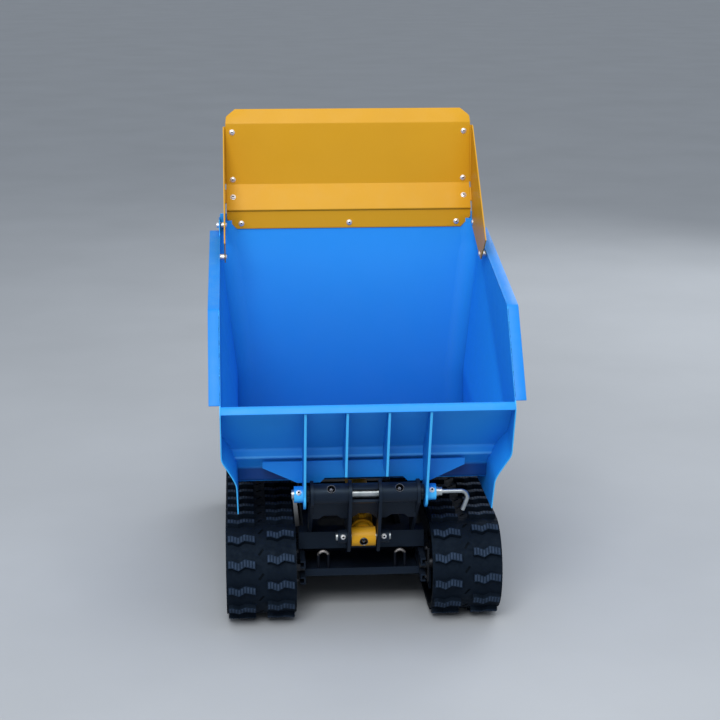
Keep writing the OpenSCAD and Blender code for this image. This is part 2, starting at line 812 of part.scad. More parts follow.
module ram_barrel() {
  barrel_l = ram_len - gland_back;
  color(guard_amber) difference() {
    union() {
      bar_x(eye_d, -base_eye_w / 2, base_eye_w / 2, ram_base);
      along_ram() {
        translate([0, 0, 18]) cylinder(d = barrel_d * 0.8, h = 20);
        translate([0, 0, 34]) cylinder(d = barrel_d, h = barrel_l - 34);
        translate([0, 0, barrel_l - gland_l]) cylinder(d = barrel_d + 6, h = gland_l);
        translate([0, 0, 52]) rotate([90, 0, 0]) cylinder(d = 22, h = barrel_d / 2 + 10);
      }
    }
    bar_x(ram_pin_d + 2 * run_fit, -eye_d, eye_d, ram_base);
    along_ram() {
      translate([0, 0, 44]) cylinder(d = ram_bore, h = barrel_l - gland_l - 44);
      cylinder_from(44, rod_d + 2 * run_fit, barrel_l);
      translate([0, 0, 52]) rotate([90, 0, 0]) cylinder(d = 12, h = barrel_d / 2 + 12);
    }
    on_eye() translate([0, 0, -7]) cylinder(d = 14, h = 20);
  }
}

module cylinder_from(z, d, l) translate([0, 0, z]) cylinder(d = d, h = l);

// Places the ram's grease nipple on its base eye, facing the front
module on_eye() {
  translate([0, ram_base[0], ram_base[1]]) rotate([105, 0, 0]) translate([0, 0, eye_d / 2]) children();
}

module ram_grease_nipple() {
  color(zinc) on_eye() translate([0, 0, -7]) nipple();
}

module ram_rod() {
  color(zinc) difference() {
    union() {
      along_ram() {
        cylinder_from(60, ram_bore - 2 * run_fit, piston_l);
        cylinder_from(60, rod_d, ram_len - 60 - eye_d / 4);
      }
      bar_x(eye_d, -rod_eye_w / 2, rod_eye_w / 2, ram_rod_end);
    }
    bar_x(ram_pin_d + 2 * run_fit, -eye_d, eye_d, ram_rod_end);
  }
}

// The rod pin stays between the lugs, because the linkage is opened there
module ram_rod_pin() {
  half = lug_in - seat_gap;
  color(zinc) bar_x(ram_pin_d, -half, half, ram_rod_end);
}

module ram_lugs() {
  color(skip_blue) both_sides() difference() {
    across(lug_in, lug_plate_t) {
      translate(ram_rod_end) circle(lug_plate_r);
      polygon([ram_rod_end + [-lug_plate_r, 0], [ram_rod_end[0] - lug_foot, floor_z],
               [ram_rod_end[0] + lug_foot, floor_z], ram_rod_end + [lug_plate_r, 0]]);
    }
    bar_x(ram_pin_d + 2 * run_fit, 0, 2 * lug_in, ram_rod_end);
  }
}

// Skip

// A solid from an outline in X and Z at the skip's front to an outline with as many points at its rear.
// The second half of an outline runs back beside the first, and its faces are cut along the same diagonals.
module skip_loft(front, rear) {
  n = len(front);
  polyhedron(concat([for (p = front) [p[0], skip_y0, p[1]]], [for (p = rear) [p[0], skip_y1, p[1]]]),
             concat([[for (i = [n - 1 : -1 : 0]) i]], [[for (i = [0 : n - 1]) n + i]],
                    [for (i = [0 : n - 1]) [i, (i + 1) % n, n + (i < n / 2 ? (i + 1) % n : i)]],
                    [for (i = [0 : n - 1]) [i < n / 2 ? i : (i + 1) % n, n + (i + 1) % n, n + i]]));
}

// The inside of the skip between its side sheets at the front or rear, as an outline in X and Z
function inner_line(end) =
  let (line = side_line(end), inner = [for (i = [0 : len(line) - 1]) corner(line, i, skip_t)])
  concat(inner, [for (i = [len(inner) - 1 : -1 : 0]) [-inner[i][0], inner[i][1]]]);

// Front lip, front slope, floor and rear wall as one bent sheet
module skip_wrap() {
  color(skip_blue) difference() {
    intersection() {
      across(-skip_half, skip_w) polygon(sheet(wrap_line, skip_t));
      skip_loft(inner_line(0), inner_line(1));
    }
    low_bolt_holes();
  }
}

module skip_side(s) {
  rim = [rim_rear, rim_bend, rim_front];
  color(skip_blue) on_side(s) difference() {
    union() {
      intersection() {
        skip_loft(sheet(side_line(0), skip_t), sheet(side_line(1), skip_t));
        across(0, skip_w) polygon(side_outline);
      }
      across(skip_half - skip_t, flange_w + skip_t) polygon(sheet(rim, skip_t));
    }
    wing_bolt_holes();
  }
}

// Place on the sloping front edge of the ribs and sides at height z
function edge_at(z) = edge_low + (edge_top - edge_low) * (z - edge_low[1]) / (edge_top[1] - edge_low[1]);

// The two ribs in the middle, from the lip to the gusset
module inner_ribs() {
  color(skip_blue) both_sides() difference() {
    across(rib_x - ear_t / 2, ear_t)
      polygon([edge_top, edge_at(rib_low_z), [band_end[0] - ear_t, rib_low_z],
               [band_end[0] - ear_t, band_end[1]], slope_end, under_lip()]);
    gusset_room();
  }
}

// Where the rib line meets the sloping front sheet under the lip
function under_lip() = lip_crest + (slope_end - lip_crest) * 0.03;

// The two outer ribs run down as the pivot's ears and carry its bosses
module pivot_ears() {
  color(skip_blue) both_sides() difference() {
    union() {
      across(ear_x - ear_t / 2, ear_t) {
        translate(pivot) circle(r = boss_d / 2 + 17);
        polygon([edge_top, edge_at(pivot[1] - 15), pivot, floor_front, strip_end, band_end, slope_end,
               under_lip()]);
      }
      bar_x(boss_d, ear_x, ear_x + ear_t / 2 + boss_l, pivot);
    }
    bar_x(pin_d + 2 * run_fit, 0, 2 * ear_x, pivot);
    on_ear_boss() cylinder(d = cross_bolt_d + 2 * hole_gap, h = 2 * boss_d, center = true);
    gusset_room();
  }
}

// Places the lock bolt of the pivot pin on its boss, facing up and forward
module on_ear_boss() {
  translate([ear_x + ear_t / 2 + boss_l * 0.5, pivot[0], pivot[1]]) rotate([60, 0, 0]) children();
}

// Gusset plate across the front wall, notched in the middle of its lower edge
module front_gusset() {
  notch = 100;
  notch_h = 12;
  color(skip_blue) gusset_slab(0)
    polygon([[-gusset_top_half, gusset_top_z], [gusset_top_half, gusset_top_z],
             [gusset_top_half, gusset_top_z - gusset_end_h], [gusset_low_half, gusset_low_z],
             [notch + notch_h, gusset_low_z], [notch, gusset_low_z + notch_h],
             [-notch, gusset_low_z + notch_h], [-notch - notch_h, gusset_low_z],
             [-gusset_low_half, gusset_low_z], [-gusset_top_half, gusset_top_z - gusset_end_h]]);
}

// Extrudes an outline in X and Z to the gusset's thickness and place, with a gap all round
module gusset_slab(gap) along(band_end[0] - ear_t - gap, ear_t + 2 * gap) children();

// What the ribs and ears leave free for the gusset
module gusset_room() {
  gusset_slab(hole_gap) translate([-gusset_top_half, gusset_low_z - hole_gap])
    square([2 * gusset_top_half, gusset_top_z - gusset_low_z + 2 * hole_gap]);
}

// Pivot pin with a collar and a bent handle at its right-hand end
module pivot_pin() {
  half = ear_x + ear_t / 2 + boss_l + 6;
  collar_l = 10;
  elbow_r = 16;
  reach = 50;
  leg = 31;
  bend = 110;
  color(zinc) difference() {
    union() {
      bar_x(pin_d, -half, half, pivot);
      bar_x(pin_d - 3, half - 1, half + collar_l, pivot);
      bar_x(handle_rod_d, half + collar_l - 1, half + collar_l - 1 + reach, pivot);
      translate([half + collar_l - 1 + reach, pivot[0], pivot[1] - elbow_r]) rotate(-90) {
        elbow(handle_rod_d, elbow_r, [0, 0], 90 - bend, bend);
        rotate([90 - bend, 0, 0]) translate([0, elbow_r, -leg]) cylinder(d = handle_rod_d, h = leg);
      }
    }
    both_sides() on_ear_boss() cylinder(d = cross_bolt_d + 2 * hole_gap, h = 2 * pin_d, center = true);
  }
}

module pivot_pin_bolts() {
  color(zinc) both_sides() on_ear_boss()
    translate([0, 0, boss_d / 2]) bolt(cross_bolt_d, boss_d / 2 + pin_d / 2 + 4);
}

// Guard

module guard_outline() {
  crest = pivot[1] + guard_up + 1;
  half = [[guard_half - 27, guard_low_z - 1], [guard_half, guard_low_z + 28], [guard_half, guard_fold_c],
          [guard_half - 2, guard_fold_c + 18], [guard_half - 27, crest]];
  polygon(concat(half, [for (i = [len(half) - 1 : -1 : 0]) [-half[i][0], half[i][1]]]));
}

module guard_panel() {
  color(guard_amber) difference() {
    intersection() {
      across(-guard_half, guard_w) polygon(sheet(guard_line, guard_t));
      along(guard_y - 50, guard_set_back + 120) guard_outline();
    }
    panel_bolt_holes();
    low_bolt_holes();
    strip_bolt_holes();
  }
}

// Bolt places on the guard: children point out of the panel's front face
module at_panel_bolts() {
  for (x = [-panel_bolt_x, panel_bolt_x])
    for (z = panel_bolt_zs)
      translate([x, guard_back_y - guard_t, z]) rotate([90, 0, 0]) children();
}

module at_low_bolts() {
  for (x = low_bolt_xs)
    translate([x, guard_y - guard_t, low_bolt_z]) rotate([90, 0, 0]) children();
}

// Places children on the rear face of the sloping strip: +Y runs up the strip and +Z out of its front
module on_strip() translate([0, guard_y, guard_fold_a]) rotate([strip_deg, 0, 0]) children();

module at_strip_bolts() {
  for (x = [-panel_bolt_x, panel_bolt_x])
    on_strip() translate([x, strip_bolt_up, guard_t]) children();
}

// Bolt places on the wings: children point from the right-hand wing towards the middle
module at_wing_bolts() {
  for (p = wing_bolts)
    translate([wing_x, p[0], p[1]]) rotate([0, -90, 0]) children();
}

module panel_bolt_holes() at_panel_bolts() cylinder(d = guard_bolt_d + 2 * hole_gap, h = 40, center = true);
module strip_bolt_holes() at_strip_bolts() cylinder(d = guard_bolt_d + 2 * hole_gap, h = 40, center = true);
module low_bolt_holes() at_low_bolts() cylinder(d = guard_bolt_d + 2 * hole_gap, h = 40, center = true);
module wing_bolt_holes() at_wing_bolts() cylinder(d = guard_bolt_d + 2 * hole_gap, h = 80, center = true);

// A tapered wing beside the panel, with flanges behind the panel and behind the sloping strip
module guard_wing(s) {
  color(guard_amber) on_side(s) difference() {
    union() {
      across(wing_x, wing_t)
        polygon([[guard_back_y + wing_t, wing_top_z], [guard_back_y - 14, wing_top_z], wing_nose, wing_tip,
                 [guard_y - 8, guard_low_z + 4],
                 [guard_y + 2, guard_fold_a], [guard_back_y + wing_t, guard_fold_b]]);
      translate([guard_half - wing_flange, guard_back_y, guard_fold_b + 2])
        cube([wing_flange + wing_gap + wing_t, wing_t, wing_top_z - guard_fold_b - 2]);
      on_strip() translate([guard_half - wing_flange, strip_l * 0.18, -wing_t])
        cube([wing_flange + wing_gap + wing_t, strip_l * 0.6, wing_t]);
    }
    panel_bolt_holes();
    strip_bolt_holes();
    wing_bolt_holes();
  }
}

// Guard bolts with their nuts, and spacers between the wings and the skip's sides
module guard_bolts() {
  nut_h = guard_bolt_d * 0.8;
  stack = 2 * guard_t;
  spacer = skip_half - skip_t - wing_x - wing_t;
  module fixing(grip) {
    bolt(guard_bolt_d, grip + nut_h);
    translate([0, 0, -grip - nut_h]) cylinder(d = guard_bolt_d * 1.8, h = nut_h, $fn = 6);
  }
  color(zinc) {
    at_panel_bolts() fixing(stack);
    at_strip_bolts() translate([0, 0, bolt_seat]) fixing(stack + 2 * bolt_seat);
    at_low_bolts() fixing(guard_t + skip_t);
    both_sides() at_wing_bolts() {
      fixing(wing_t + spacer + skip_t);
      translate([0, 0, -wing_t - spacer]) cylinder(d = guard_bolt_d * 2, h = spacer);
    }
  }
}

// Rest for the skip, deck and what stands on it

module skip_rest() {
  color(frame_black) {
    both_sides()
      translate([rail_x - rail_w / 2, rest_y, rail_top]) cube([rail_w, rest_l, rest_top - rail_top]);
    wide_box(rail_x + rail_w / 2, rest_y, rest_l, rest_top, 8);
  }
}

module rest_buffers() {
  color(belt_black) both_sides()
    translate([rail_x, rest_y + rest_l / 2, rest_top + 8])
      cylinder(d1 = buffer_d, d2 = buffer_d - 8, h = floor_z - seat_gap - rest_top - 8);
}

// Deck plate over the belts, on two box supports across the rails
module deck() {
  support_l = 60;
  color(frame_black) {
    translate([0, 0, deck_z]) linear_extrude(deck_t) body_plan(body_t + seat_gap);
    for (y = [body_y0 + 10, rail_y1 - support_l])
      wide_box(rail_x + rail_w / 2, y, support_l, rail_top, deck_up);
  }
}

module battery_pack() {
  gap = 8;
  w = 200;
  h = 220;
  color("darkslategray") both_sides() {
    translate([gap, body_y0 + 30, body_z0]) cube([w, 205, h]);
    for (y = [body_y0 + 70, body_y0 + 190])
      translate([gap + w / 2, y, body_z0 + h]) cylinder(d = 18, h = 14);
  }
}

// Hydraulic tank with its pump motor
module hydraulic_unit() {
  tank_l = 90;
  tank_h = 180;
  y = body_y1 - 12 - tank_l;
  color("gray") {
    wide_box(140, y, tank_l, body_z0, tank_h);
    translate([-30, y + tank_l / 2, body_z0 + tank_h]) cylinder(d = 84, h = 150);
    translate([60, y + 15, body_z0 + tank_h]) cube([60, 60, 70]);
    translate([-110, y + tank_l / 2, body_z0 + tank_h]) cylinder(d = 34, h = 16);
  }
}

// The body's outline in X and Y, round at the corners
module body_plan(inset) {
  r = body_r - inset;
  for (x = [-1, 1])
    for (y = [body_y0 + body_r, body_y1 - body_r])
      translate([x * (body_half - body_r), y]) circle(r);
  translate([-body_half + inset, body_y0 + body_r]) square([body_w - 2 * inset, body_l - 2 * body_r]);
  translate([-body_half + body_r, body_y0 + inset]) square([body_w - 2 * body_r, body_l - 2 * inset]);
}

// Body shell: one sheet bent round the front and both sides, with louvre slots and the door's hinge pins
module body_shell() {
  louvres = 6;
  color(skip_blue) {
    difference() {
      translate([0, 0, deck_z]) linear_extrude(body_z1 - deck_z) difference() {
        body_plan(0);
        body_plan(body_t);
        translate([-body_half + body_r, body_y1 - body_r]) square([body_w - 2 * body_r, 2 * body_r]);
      }
      for (k = [0 : louvres - 1])
        translate([-body_w, body_y0 + 110, body_z0 + 240 + k * 30]) cube([2 * body_w, 150, 12]);
    }
    for (z = hinge_zs)
      translate([door_hinge[0], door_hinge[1], z]) {
        translate([0, 0, -hinge_l / 2]) cylinder(d = hinge_pin_d, h = 2 * hinge_l);
        for (low = [-hinge_l - seat_gap, hinge_l + seat_gap])
          translate([0, 0, low]) {
            cylinder(d = hinge_d, h = hinge_l);
            translate([-13, -hinge_d / 2 - 3, 0]) cube([13, 8, hinge_l]);
          }
      }
  }
}

module body_top() {
  color(skip_blue) translate([0, 0, body_z1]) linear_extrude(body_t) body_plan(0);
}

// Rear door with a turned edge; its middle hinge knuckles run on pins of the side panel
module rear_door() {
  h = body_z1 - body_z0 - 20;
  color(skip_blue) difference() {
    union() {
      wide_box(door_half, body_y1 - body_t, body_t, body_z0 + 10, h);
      for (z = hinge_zs) {
        translate([door_hinge[0], door_hinge[1], z]) cylinder(d = hinge_d, h = hinge_l);
        translate([door_hinge[0], door_hinge[1] - hinge_d / 2, z]) cube([20, hinge_leaf_t, hinge_l]);
        translate([-door_half, body_y1 - 1, z]) cube([16, hinge_leaf_t, hinge_l]);
      }
    }
    for (z = hinge_zs)
      translate([door_hinge[0], door_hinge[1], z - 1])
        cylinder(d = hinge_pin_d + 2 * run_fit, h = hinge_l + 2);
    at_latch() cylinder(d = latch_d + 2 * run_fit, h = 40, center = true);
  }
}

module at_latch() translate([latch_x, body_y1, latch_z]) rotate([-90, 0, 0]) children();

module door_latch() {
  color("dimgray") at_latch() {
    translate([0, 0, -14]) cylinder(d = latch_d, h = 14 + seat_gap);
    translate([0, 0, seat_gap]) cylinder(d = 34, h = 10);
    translate([-9, -45, 10]) cube([18, 90, 12]);
    translate([0, -9, -14]) cube([34, 18, 5]);
  }
}

// Controls

module console_outline() {
  polygon([[console_front[0] - 12, arm_z], [console_front[0] - 12, console_front[1]], console_front,
           console_rear, [console_rear[0], arm_z]]);
}

// Places children on the console's sloping face, t of the way to the rear, with +Z out of it
module on_console(x, t) {
  p = console_front + (console_rear - console_front) * t;
  translate([x, p[0], p[1]]) rotate([-console_deg, 0, 0]) children();
}

module console() {
  color(frame_black) difference() {
    union() {
      across(-console_half, 2 * console_half) console_outline();
      on_console(stop_x, 0.5) translate([0, 0, -4]) cylinder(d = 54, h = 8);
      on_console(key_x, 0.5) translate([0, 0, -4]) cylinder(d = 30, h = 10);
    }
    on_console(stop_x, 0.5) translate([0, 0, -30]) cylinder(d = stop_stem_d + 2 * run_fit, h = 40);
    on_console(key_x, 0.5) translate([0, 0, -24]) cylinder(d = key_d + 2 * run_fit, h = 40);
    on_console(gauge_x, 0.5) translate([-38, -24, -3]) cube([76, 48, 10]);
    on_console(tip_lever_x, 0.5) translate([-lever_slot_w / 2, -26, -40]) cube([lever_slot_w, 52, 50]);
  }
  color(zinc) on_console(tip_lever_x, 0.5) translate([-lever_slot_w / 2 - 1, 0, -tip_pivot_depth])
    rotate([0, 90, 0]) cylinder(d = tip_pin_d, h = lever_slot_w + 2);
}

module stop_button() {
  color("firebrick") on_console(stop_x, 0.5) {
    translate([0, 0, -18]) cylinder(d = stop_stem_d, h = 34);
    translate([0, 0, 12]) rotate_extrude()
      polygon([[0, 0], [stop_d / 2 - 4, 0], [stop_d / 2, 4], [stop_d / 2, 9], [stop_d / 2 - 5, 14], [0, 15]]);
  }
}

module tip_lever() {
  color(frame_black) on_console(tip_lever_x, 0.5) translate([0, 0, -tip_pivot_depth]) difference() {
    union() {
      translate([-8, 0, 0]) rotate([0, 90, 0]) cylinder(d = 18, h = 16);
      cylinder(d = tip_lever_d, h = 100);
      translate([0, 0, 108]) sphere(d = 30);
    }
    translate([-10, 0, 0]) rotate([0, 90, 0]) cylinder(d = tip_pin_d + 2 * run_fit, h = 20);
  }
}

module key() {
  color(zinc) on_console(key_x, 0.5) {
    translate([0, 0, -20]) cylinder(d = key_d, h = 34);
    translate([-2, -12, 12]) cube([4, 24, 24]);
  }
}

// Handles

// Places children along a handle's rear stretch: +Y runs rearwards, the origin is at the tube's end
module on_handle(side) translate([side * arm_x, arm_end[0], arm_end[1]]) rotate([arm_rise, 0, 0]) children();

module rod_y(d, y0, y1) translate([0, y0, 0]) rotate([-90, 0, 0]) cylinder(d = d, h = y1 - y0);

// Two bent tubes on flanges, a brace between them and the drive levers' brackets
module handle_arms() {
  cheek = 5;
  color(frame_black) {
    for (side = [-1, 1]) {
      translate([side * arm_x, arm_y, arm_z]) cylinder(d = 64, h = 8);
      translate([side * arm_x, arm_y, arm_z]) cylinder(d = arm_d, h = arm_up);
      translate([side * arm_x, 0, 0]) elbow(arm_d, arm_bend_r, arm_bend_mid, 90 + arm_rise, bend_deg);
      on_handle(side) {
        rod_y(arm_d, -arm_l, 0);
        rod_y(arm_d + 12, -lever_back - 12, -lever_back + 12);
        for (x = [-1, 1])
          translate([x * (lever_w / 2 + seat_gap + cheek / 2) - cheek / 2, -lever_back - 9, -lever_drop - 9])
            cube([cheek, 18, lever_drop + 4]);
        bar_x(lever_pin_d, -lever_w / 2 - seat_gap - 1, lever_w / 2 + seat_gap + 1, lever_pin);
      }
    }
    bar_x(brace_d, -arm_x, arm_x, arm_start + brace_back * [cos(arm_rise), sin(arm_rise)]);
  }
}

module grips() {
  ribs = 6;
  color(belt_black) for (side = [-1, 1])
    on_handle(side) difference() {
      union() {
        rod_y(grip_d - 4, -grip_l, grip_cap);
        rod_y(grip_d, grip_cap - 12, grip_cap);
        for (k = [0 : ribs - 1])
          rod_y(grip_d - 1, -grip_l + k * 18, -grip_l + k * 18 + 9);
      }
      rod_y(arm_d + 2 * hole_gap, -grip_l - 1, 0);
    }
}

// A drive lever hung under the grip on its bracket's pin
module drive_lever(side) {
  color(frame_black) on_handle(side) difference() {
    union() {
      bar_x(16, -lever_w / 2, lever_w / 2, lever_pin);
      across(-lever_w / 2 + 1, lever_w - 2)
        polygon([lever_pin + [4, 5], lever_pin + [30, -8], [-22, -lever_drop - 26], [-14, -lever_drop - 36],
                 [-24, -lever_drop - 40], lever_pin + [20, -18], lever_pin + [4, -5]]);
    }
    bar_x(lever_pin_d + 2 * run_fit, -lever_w, lever_w, lever_pin);
  }
}

in_frame() chassis_rails();
in_frame() cross_members();
in_frame() belly_plate();
in_frame() lashing_eyes();
for (s = ["left", "right"]) {
  in_frame() track_frame(s);
  in_frame() idler(s);
  in_frame() idler_yoke(s);
  in_frame() skip_side(s);
  in_frame() guard_wing(s);
  for (k = [1 : 3])
    in_frame() roller(s, k);
}
in_frame() roller_axles();
in_frame() gear_motors();
in_frame() belt(-track_x, left_phase);  // left_track_belt
in_frame() belt(track_x, right_phase);  // right_track_belt
in_frame() sprocket(-1, left_phase);  // left_sprocket
in_frame() sprocket(1, right_phase);  // right_sprocket
in_frame() pivot_bracket();
in_frame() bracket_grease_nipples();
in_frame() ram_base_pin();
in_frame() base_pin_bolts();
in_frame() ram_barrel();
in_frame() ram_grease_nipple();
in_frame() ram_rod();
in_frame() ram_rod_pin();
in_frame() ram_lugs();
in_frame() skip_wrap();
in_frame() inner_ribs();
in_frame() pivot_ears();
in_frame() front_gusset();
in_frame() pivot_pin();
in_frame() pivot_pin_bolts();
in_frame() guard_panel();
in_frame() guard_bolts();
in_frame() skip_rest();
in_frame() rest_buffers();
in_frame() deck();
in_frame() battery_pack();
in_frame() hydraulic_unit();
in_frame() body_shell();
in_frame() body_top();
in_frame() rear_door();
in_frame() door_latch();
in_frame() console();
in_frame() stop_button();
in_frame() tip_lever();
in_frame() key();
in_frame() handle_arms();
in_frame() grips();
in_frame() drive_lever(-1);  // left_drive_lever
in_frame() drive_lever(1);  // right_drive_lever
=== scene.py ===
import json
import math

import bpy
import numpy as np
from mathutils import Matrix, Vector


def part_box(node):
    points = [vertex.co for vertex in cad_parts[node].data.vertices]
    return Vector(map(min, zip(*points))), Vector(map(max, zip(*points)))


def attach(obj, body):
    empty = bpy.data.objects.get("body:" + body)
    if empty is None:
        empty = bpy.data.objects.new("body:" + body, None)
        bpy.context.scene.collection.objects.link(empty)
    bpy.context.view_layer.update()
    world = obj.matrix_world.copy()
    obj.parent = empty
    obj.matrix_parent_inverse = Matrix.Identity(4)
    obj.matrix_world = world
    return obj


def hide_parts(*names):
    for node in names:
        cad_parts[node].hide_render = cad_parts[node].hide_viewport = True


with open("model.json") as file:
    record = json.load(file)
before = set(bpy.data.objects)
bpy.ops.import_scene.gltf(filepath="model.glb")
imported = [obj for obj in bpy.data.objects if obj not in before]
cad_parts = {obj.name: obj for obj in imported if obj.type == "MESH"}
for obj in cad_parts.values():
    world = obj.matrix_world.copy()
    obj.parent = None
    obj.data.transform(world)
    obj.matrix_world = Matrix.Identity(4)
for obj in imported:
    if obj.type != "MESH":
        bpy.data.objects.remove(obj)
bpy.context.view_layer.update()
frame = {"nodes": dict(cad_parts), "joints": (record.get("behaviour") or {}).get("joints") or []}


# Chassis, track frames and deck
# Welded steel box sections and plates under a satin black powder coat. The coat has a fine
# orange peel, and a little grey dust lies on what faces up.

nodes = frame["nodes"]


def new_material(name):
    """An empty node material with its output, shader and Object coordinates."""
    material = bpy.data.materials.new(name)
    material.use_nodes = True
    tree = material.node_tree
    tree.nodes.clear()
    output = tree.nodes.new("ShaderNodeOutputMaterial")
    shader = tree.nodes.new("ShaderNodeBsdfPrincipled")
    tree.links.new(shader.outputs["BSDF"], output.inputs["Surface"])
    coordinates = tree.nodes.new("ShaderNodeTexCoord")
    return material, tree, shader, coordinates.outputs["Object"]


def noise(tree, where, scale, detail=3.0):
    """Noise of so many cells a metre, between 0 and 1."""
    node = tree.nodes.new("ShaderNodeTexNoise")
    node.inputs["Scale"].default_value = scale
    node.inputs["Detail"].default_value = detail
    tree.links.new(where, node.inputs["Vector"])
    return node.outputs["Fac"]


def spread(tree, value, low, high, start=0.3, stop=0.7):
    """Maps a value from start..stop to low..high, and no further."""
    node = tree.nodes.new("ShaderNodeMapRange")
    node.inputs["From Min"].default_value = start
    node.inputs["From Max"].default_value = stop
    node.inputs["To Min"].default_value = low
    node.inputs["To Max"].default_value = high
    tree.links.new(value, node.inputs["Value"])
    return node.outputs["Result"]


def blend_colours(tree, amount, first, second):
    """The first colour where amount is 0 and the second where it is 1. A colour may be a socket."""
    node = tree.nodes.new("ShaderNodeMix")
    node.data_type = "RGBA"
    tree.links.new(amount, node.inputs["Factor"])
    for socket, colour in ((node.inputs[6], first), (node.inputs[7], second)):
        if isinstance(colour, bpy.types.NodeSocket):
            tree.links.new(colour, socket)
        else:
            socket.default_value = (*colour, 1.0)
    return node.outputs[2]


def maths(tree, operation, first, second=0.0):
    """One Math node; each side is a socket or a number."""
    node = tree.nodes.new("ShaderNodeMath")
    node.operation = operation
    for socket, value in zip(node.inputs, (first, second)):
        if isinstance(value, bpy.types.NodeSocket):
            tree.links.new(value, socket)
        else:
            socket.default_value = value
    return node.outputs[0]


def axes(tree, vector):
    """The X, Y and Z sockets of a vector."""
    split = tree.nodes.new("ShaderNodeSeparateXYZ")
    tree.links.new(vector, split.inputs["Vector"])
    return split.outputs


def looks_along(tree, axis, start, stop):
    """Grows from 0 to 1 as a face's normal goes from start to stop along an axis."""
    coordinates = tree.nodes.new("ShaderNodeTexCoord")
    return spread(tree, axes(tree, coordinates.outputs["Normal"])[axis], 0.0, 1.0, start, stop)


def bump(tree, shader, height, distance, strength=0.5):
    """Roughens the surface by a height map, with its full depth in metres."""
    node = tree.nodes.new("ShaderNodeBump")
    node.inputs["Strength"].default_value = strength
    node.inputs["Distance"].default_value = distance
    tree.links.new(height, node.inputs["Height"])
    tree.links.new(node.outputs["Normal"], shader.inputs["Normal"])


def paint(name, colour, shade, dust, roughness=0.42, gloss=0.22, painted_light_patches=(), painted_reflection_tint=(1.0, 1.0, 1.0),
          edge=None):
    """Powder coat: colour drifting to shade over decimetres, dust on upper faces, orange peel. Painted
    light patches, which paint shade and highlights, each have a colour, grow from nothing at y_none to
    full at y_full, and from z_none to z_full.
    The painted reflection tint colours the gloss, and edge is a paler colour painted as a highlight on
    faces that look forward."""
    drift_cells, speck_cells, patch_cells, peel_cells = 2.6, 38.0, 14.0, 420.0
    most_dust, peel_depth, peel_strength = 0.22, 0.0004, 0.25
    material, tree, shader, where = new_material(name)
    drift = spread(tree, noise(tree, where, drift_cells, 4.0), 0.0, 1.0)
    coat = blend_colours(tree, drift, colour, shade)
    for tone, y_none, y_full, z_none, z_full in painted_light_patches:
        place = axes(tree, where)
        amount = maths(tree, "MULTIPLY", spread(tree, place["Y"], 0.0, 1.0, y_none, y_full),
                       spread(tree, place["Z"], 0.0, 1.0, z_none, z_full))
        coat = blend_colours(tree, amount, coat, tone)
    # Painted highlight: faces that look forward are painted paler.
    if edge:
        coat = blend_colours(tree, looks_along(tree, "Y", -0.55, -0.90), coat, edge)
    specks = spread(tree, noise(tree, where, speck_cells, 6.0), 0.0, most_dust, 0.45, 0.75)
    settled = maths(tree, "MULTIPLY", specks, looks_along(tree, "Z", 0.35, 0.95))
    tree.links.new(blend_colours(tree, settled, coat, dust), shader.inputs["Base Color"])
    patches = noise(tree, where, patch_cells, 5.0)
    tree.links.new(spread(tree, patches, roughness - 0.05, roughness + 0.08), shader.inputs["Roughness"])
    shader.inputs["Specular IOR Level"].default_value = gloss
    shader.inputs["Specular Tint"].default_value = (*painted_reflection_tint, 1.0)
    bump(tree, shader, noise(tree, where, peel_cells, 2.0), peel_depth, peel_strength)
    return material


def finish(material, *names):
    """Gives CAD nodes one material."""
    for name in names:
        nodes[name].data.materials.clear()
        nodes[name].data.materials.append(material)


# The blue cast in this coat's colour and in the tint of its gloss is painted reflection of the blue
# surroundings.
black_coat = paint("black_powder_coat", (0.0065, 0.0105, 0.0200), (0.0090, 0.0140, 0.0255),
                   (0.036, 0.048, 0.066), painted_reflection_tint=(0.55, 0.78, 1.0))
finish(black_coat, "chassis_rails", "cross_members", "belly_plate", "left_track_frame",
       "right_track_frame", "skip_rest", "deck")


# Lashing eyes, axles, pins and key
# Steel with a zinc plating: a cool grey that drifts a little, finely drawn, and duller in patches
# where it has been handled. The eyes are coated bars: painted shade below, a painted highlight on top.

def plated(name, colour, shade, roughness):
    """Zinc plate: a metal whose tint and polish drift over centimetres, with fine drawn lines."""
    tint_cells, polish_cells, line_cells = 45.0, 160.0, 900.0
    material, tree, shader, where = new_material(name)
    drift = spread(tree, noise(tree, where, tint_cells, 4.0), 0.0, 1.0)
    tree.links.new(blend_colours(tree, drift, colour, shade), shader.inputs["Base Color"])
    shader.inputs["Metallic"].default_value = 1.0
    polish = noise(tree, where, polish_cells, 4.0)
    tree.links.new(spread(tree, polish, roughness - 0.08, roughness + 0.12), shader.inputs["Roughness"])
    bump(tree, shader, noise(tree, where, line_cells, 2.0), 0.0002, 0.2)
    return material


zinc = plated("bright_zinc", (0.50, 0.53, 0.54), (0.34, 0.38, 0.40), 0.40)
finish(zinc, "ram_base_pin", "ram_rod_pin", "pivot_pin", "key")
# A darker copy of the zinc: painted shade for the nipples in their recesses, the roller axles and the
# ports' collars.
dull_zinc = plated("dull_zinc", (0.20, 0.21, 0.23), (0.12, 0.13, 0.15), 0.42)
finish(dull_zinc, "roller_axles", "bracket_grease_nipples", "ram_grease_nipple")
# A much darker copy of the zinc: painted shade on the idler yokes' keepers.
dark_zinc = plated("dark_zinc", (0.075, 0.080, 0.092), (0.045, 0.050, 0.060), 0.45)
finish(dark_zinc, "left_idler_yoke", "right_idler_yoke")


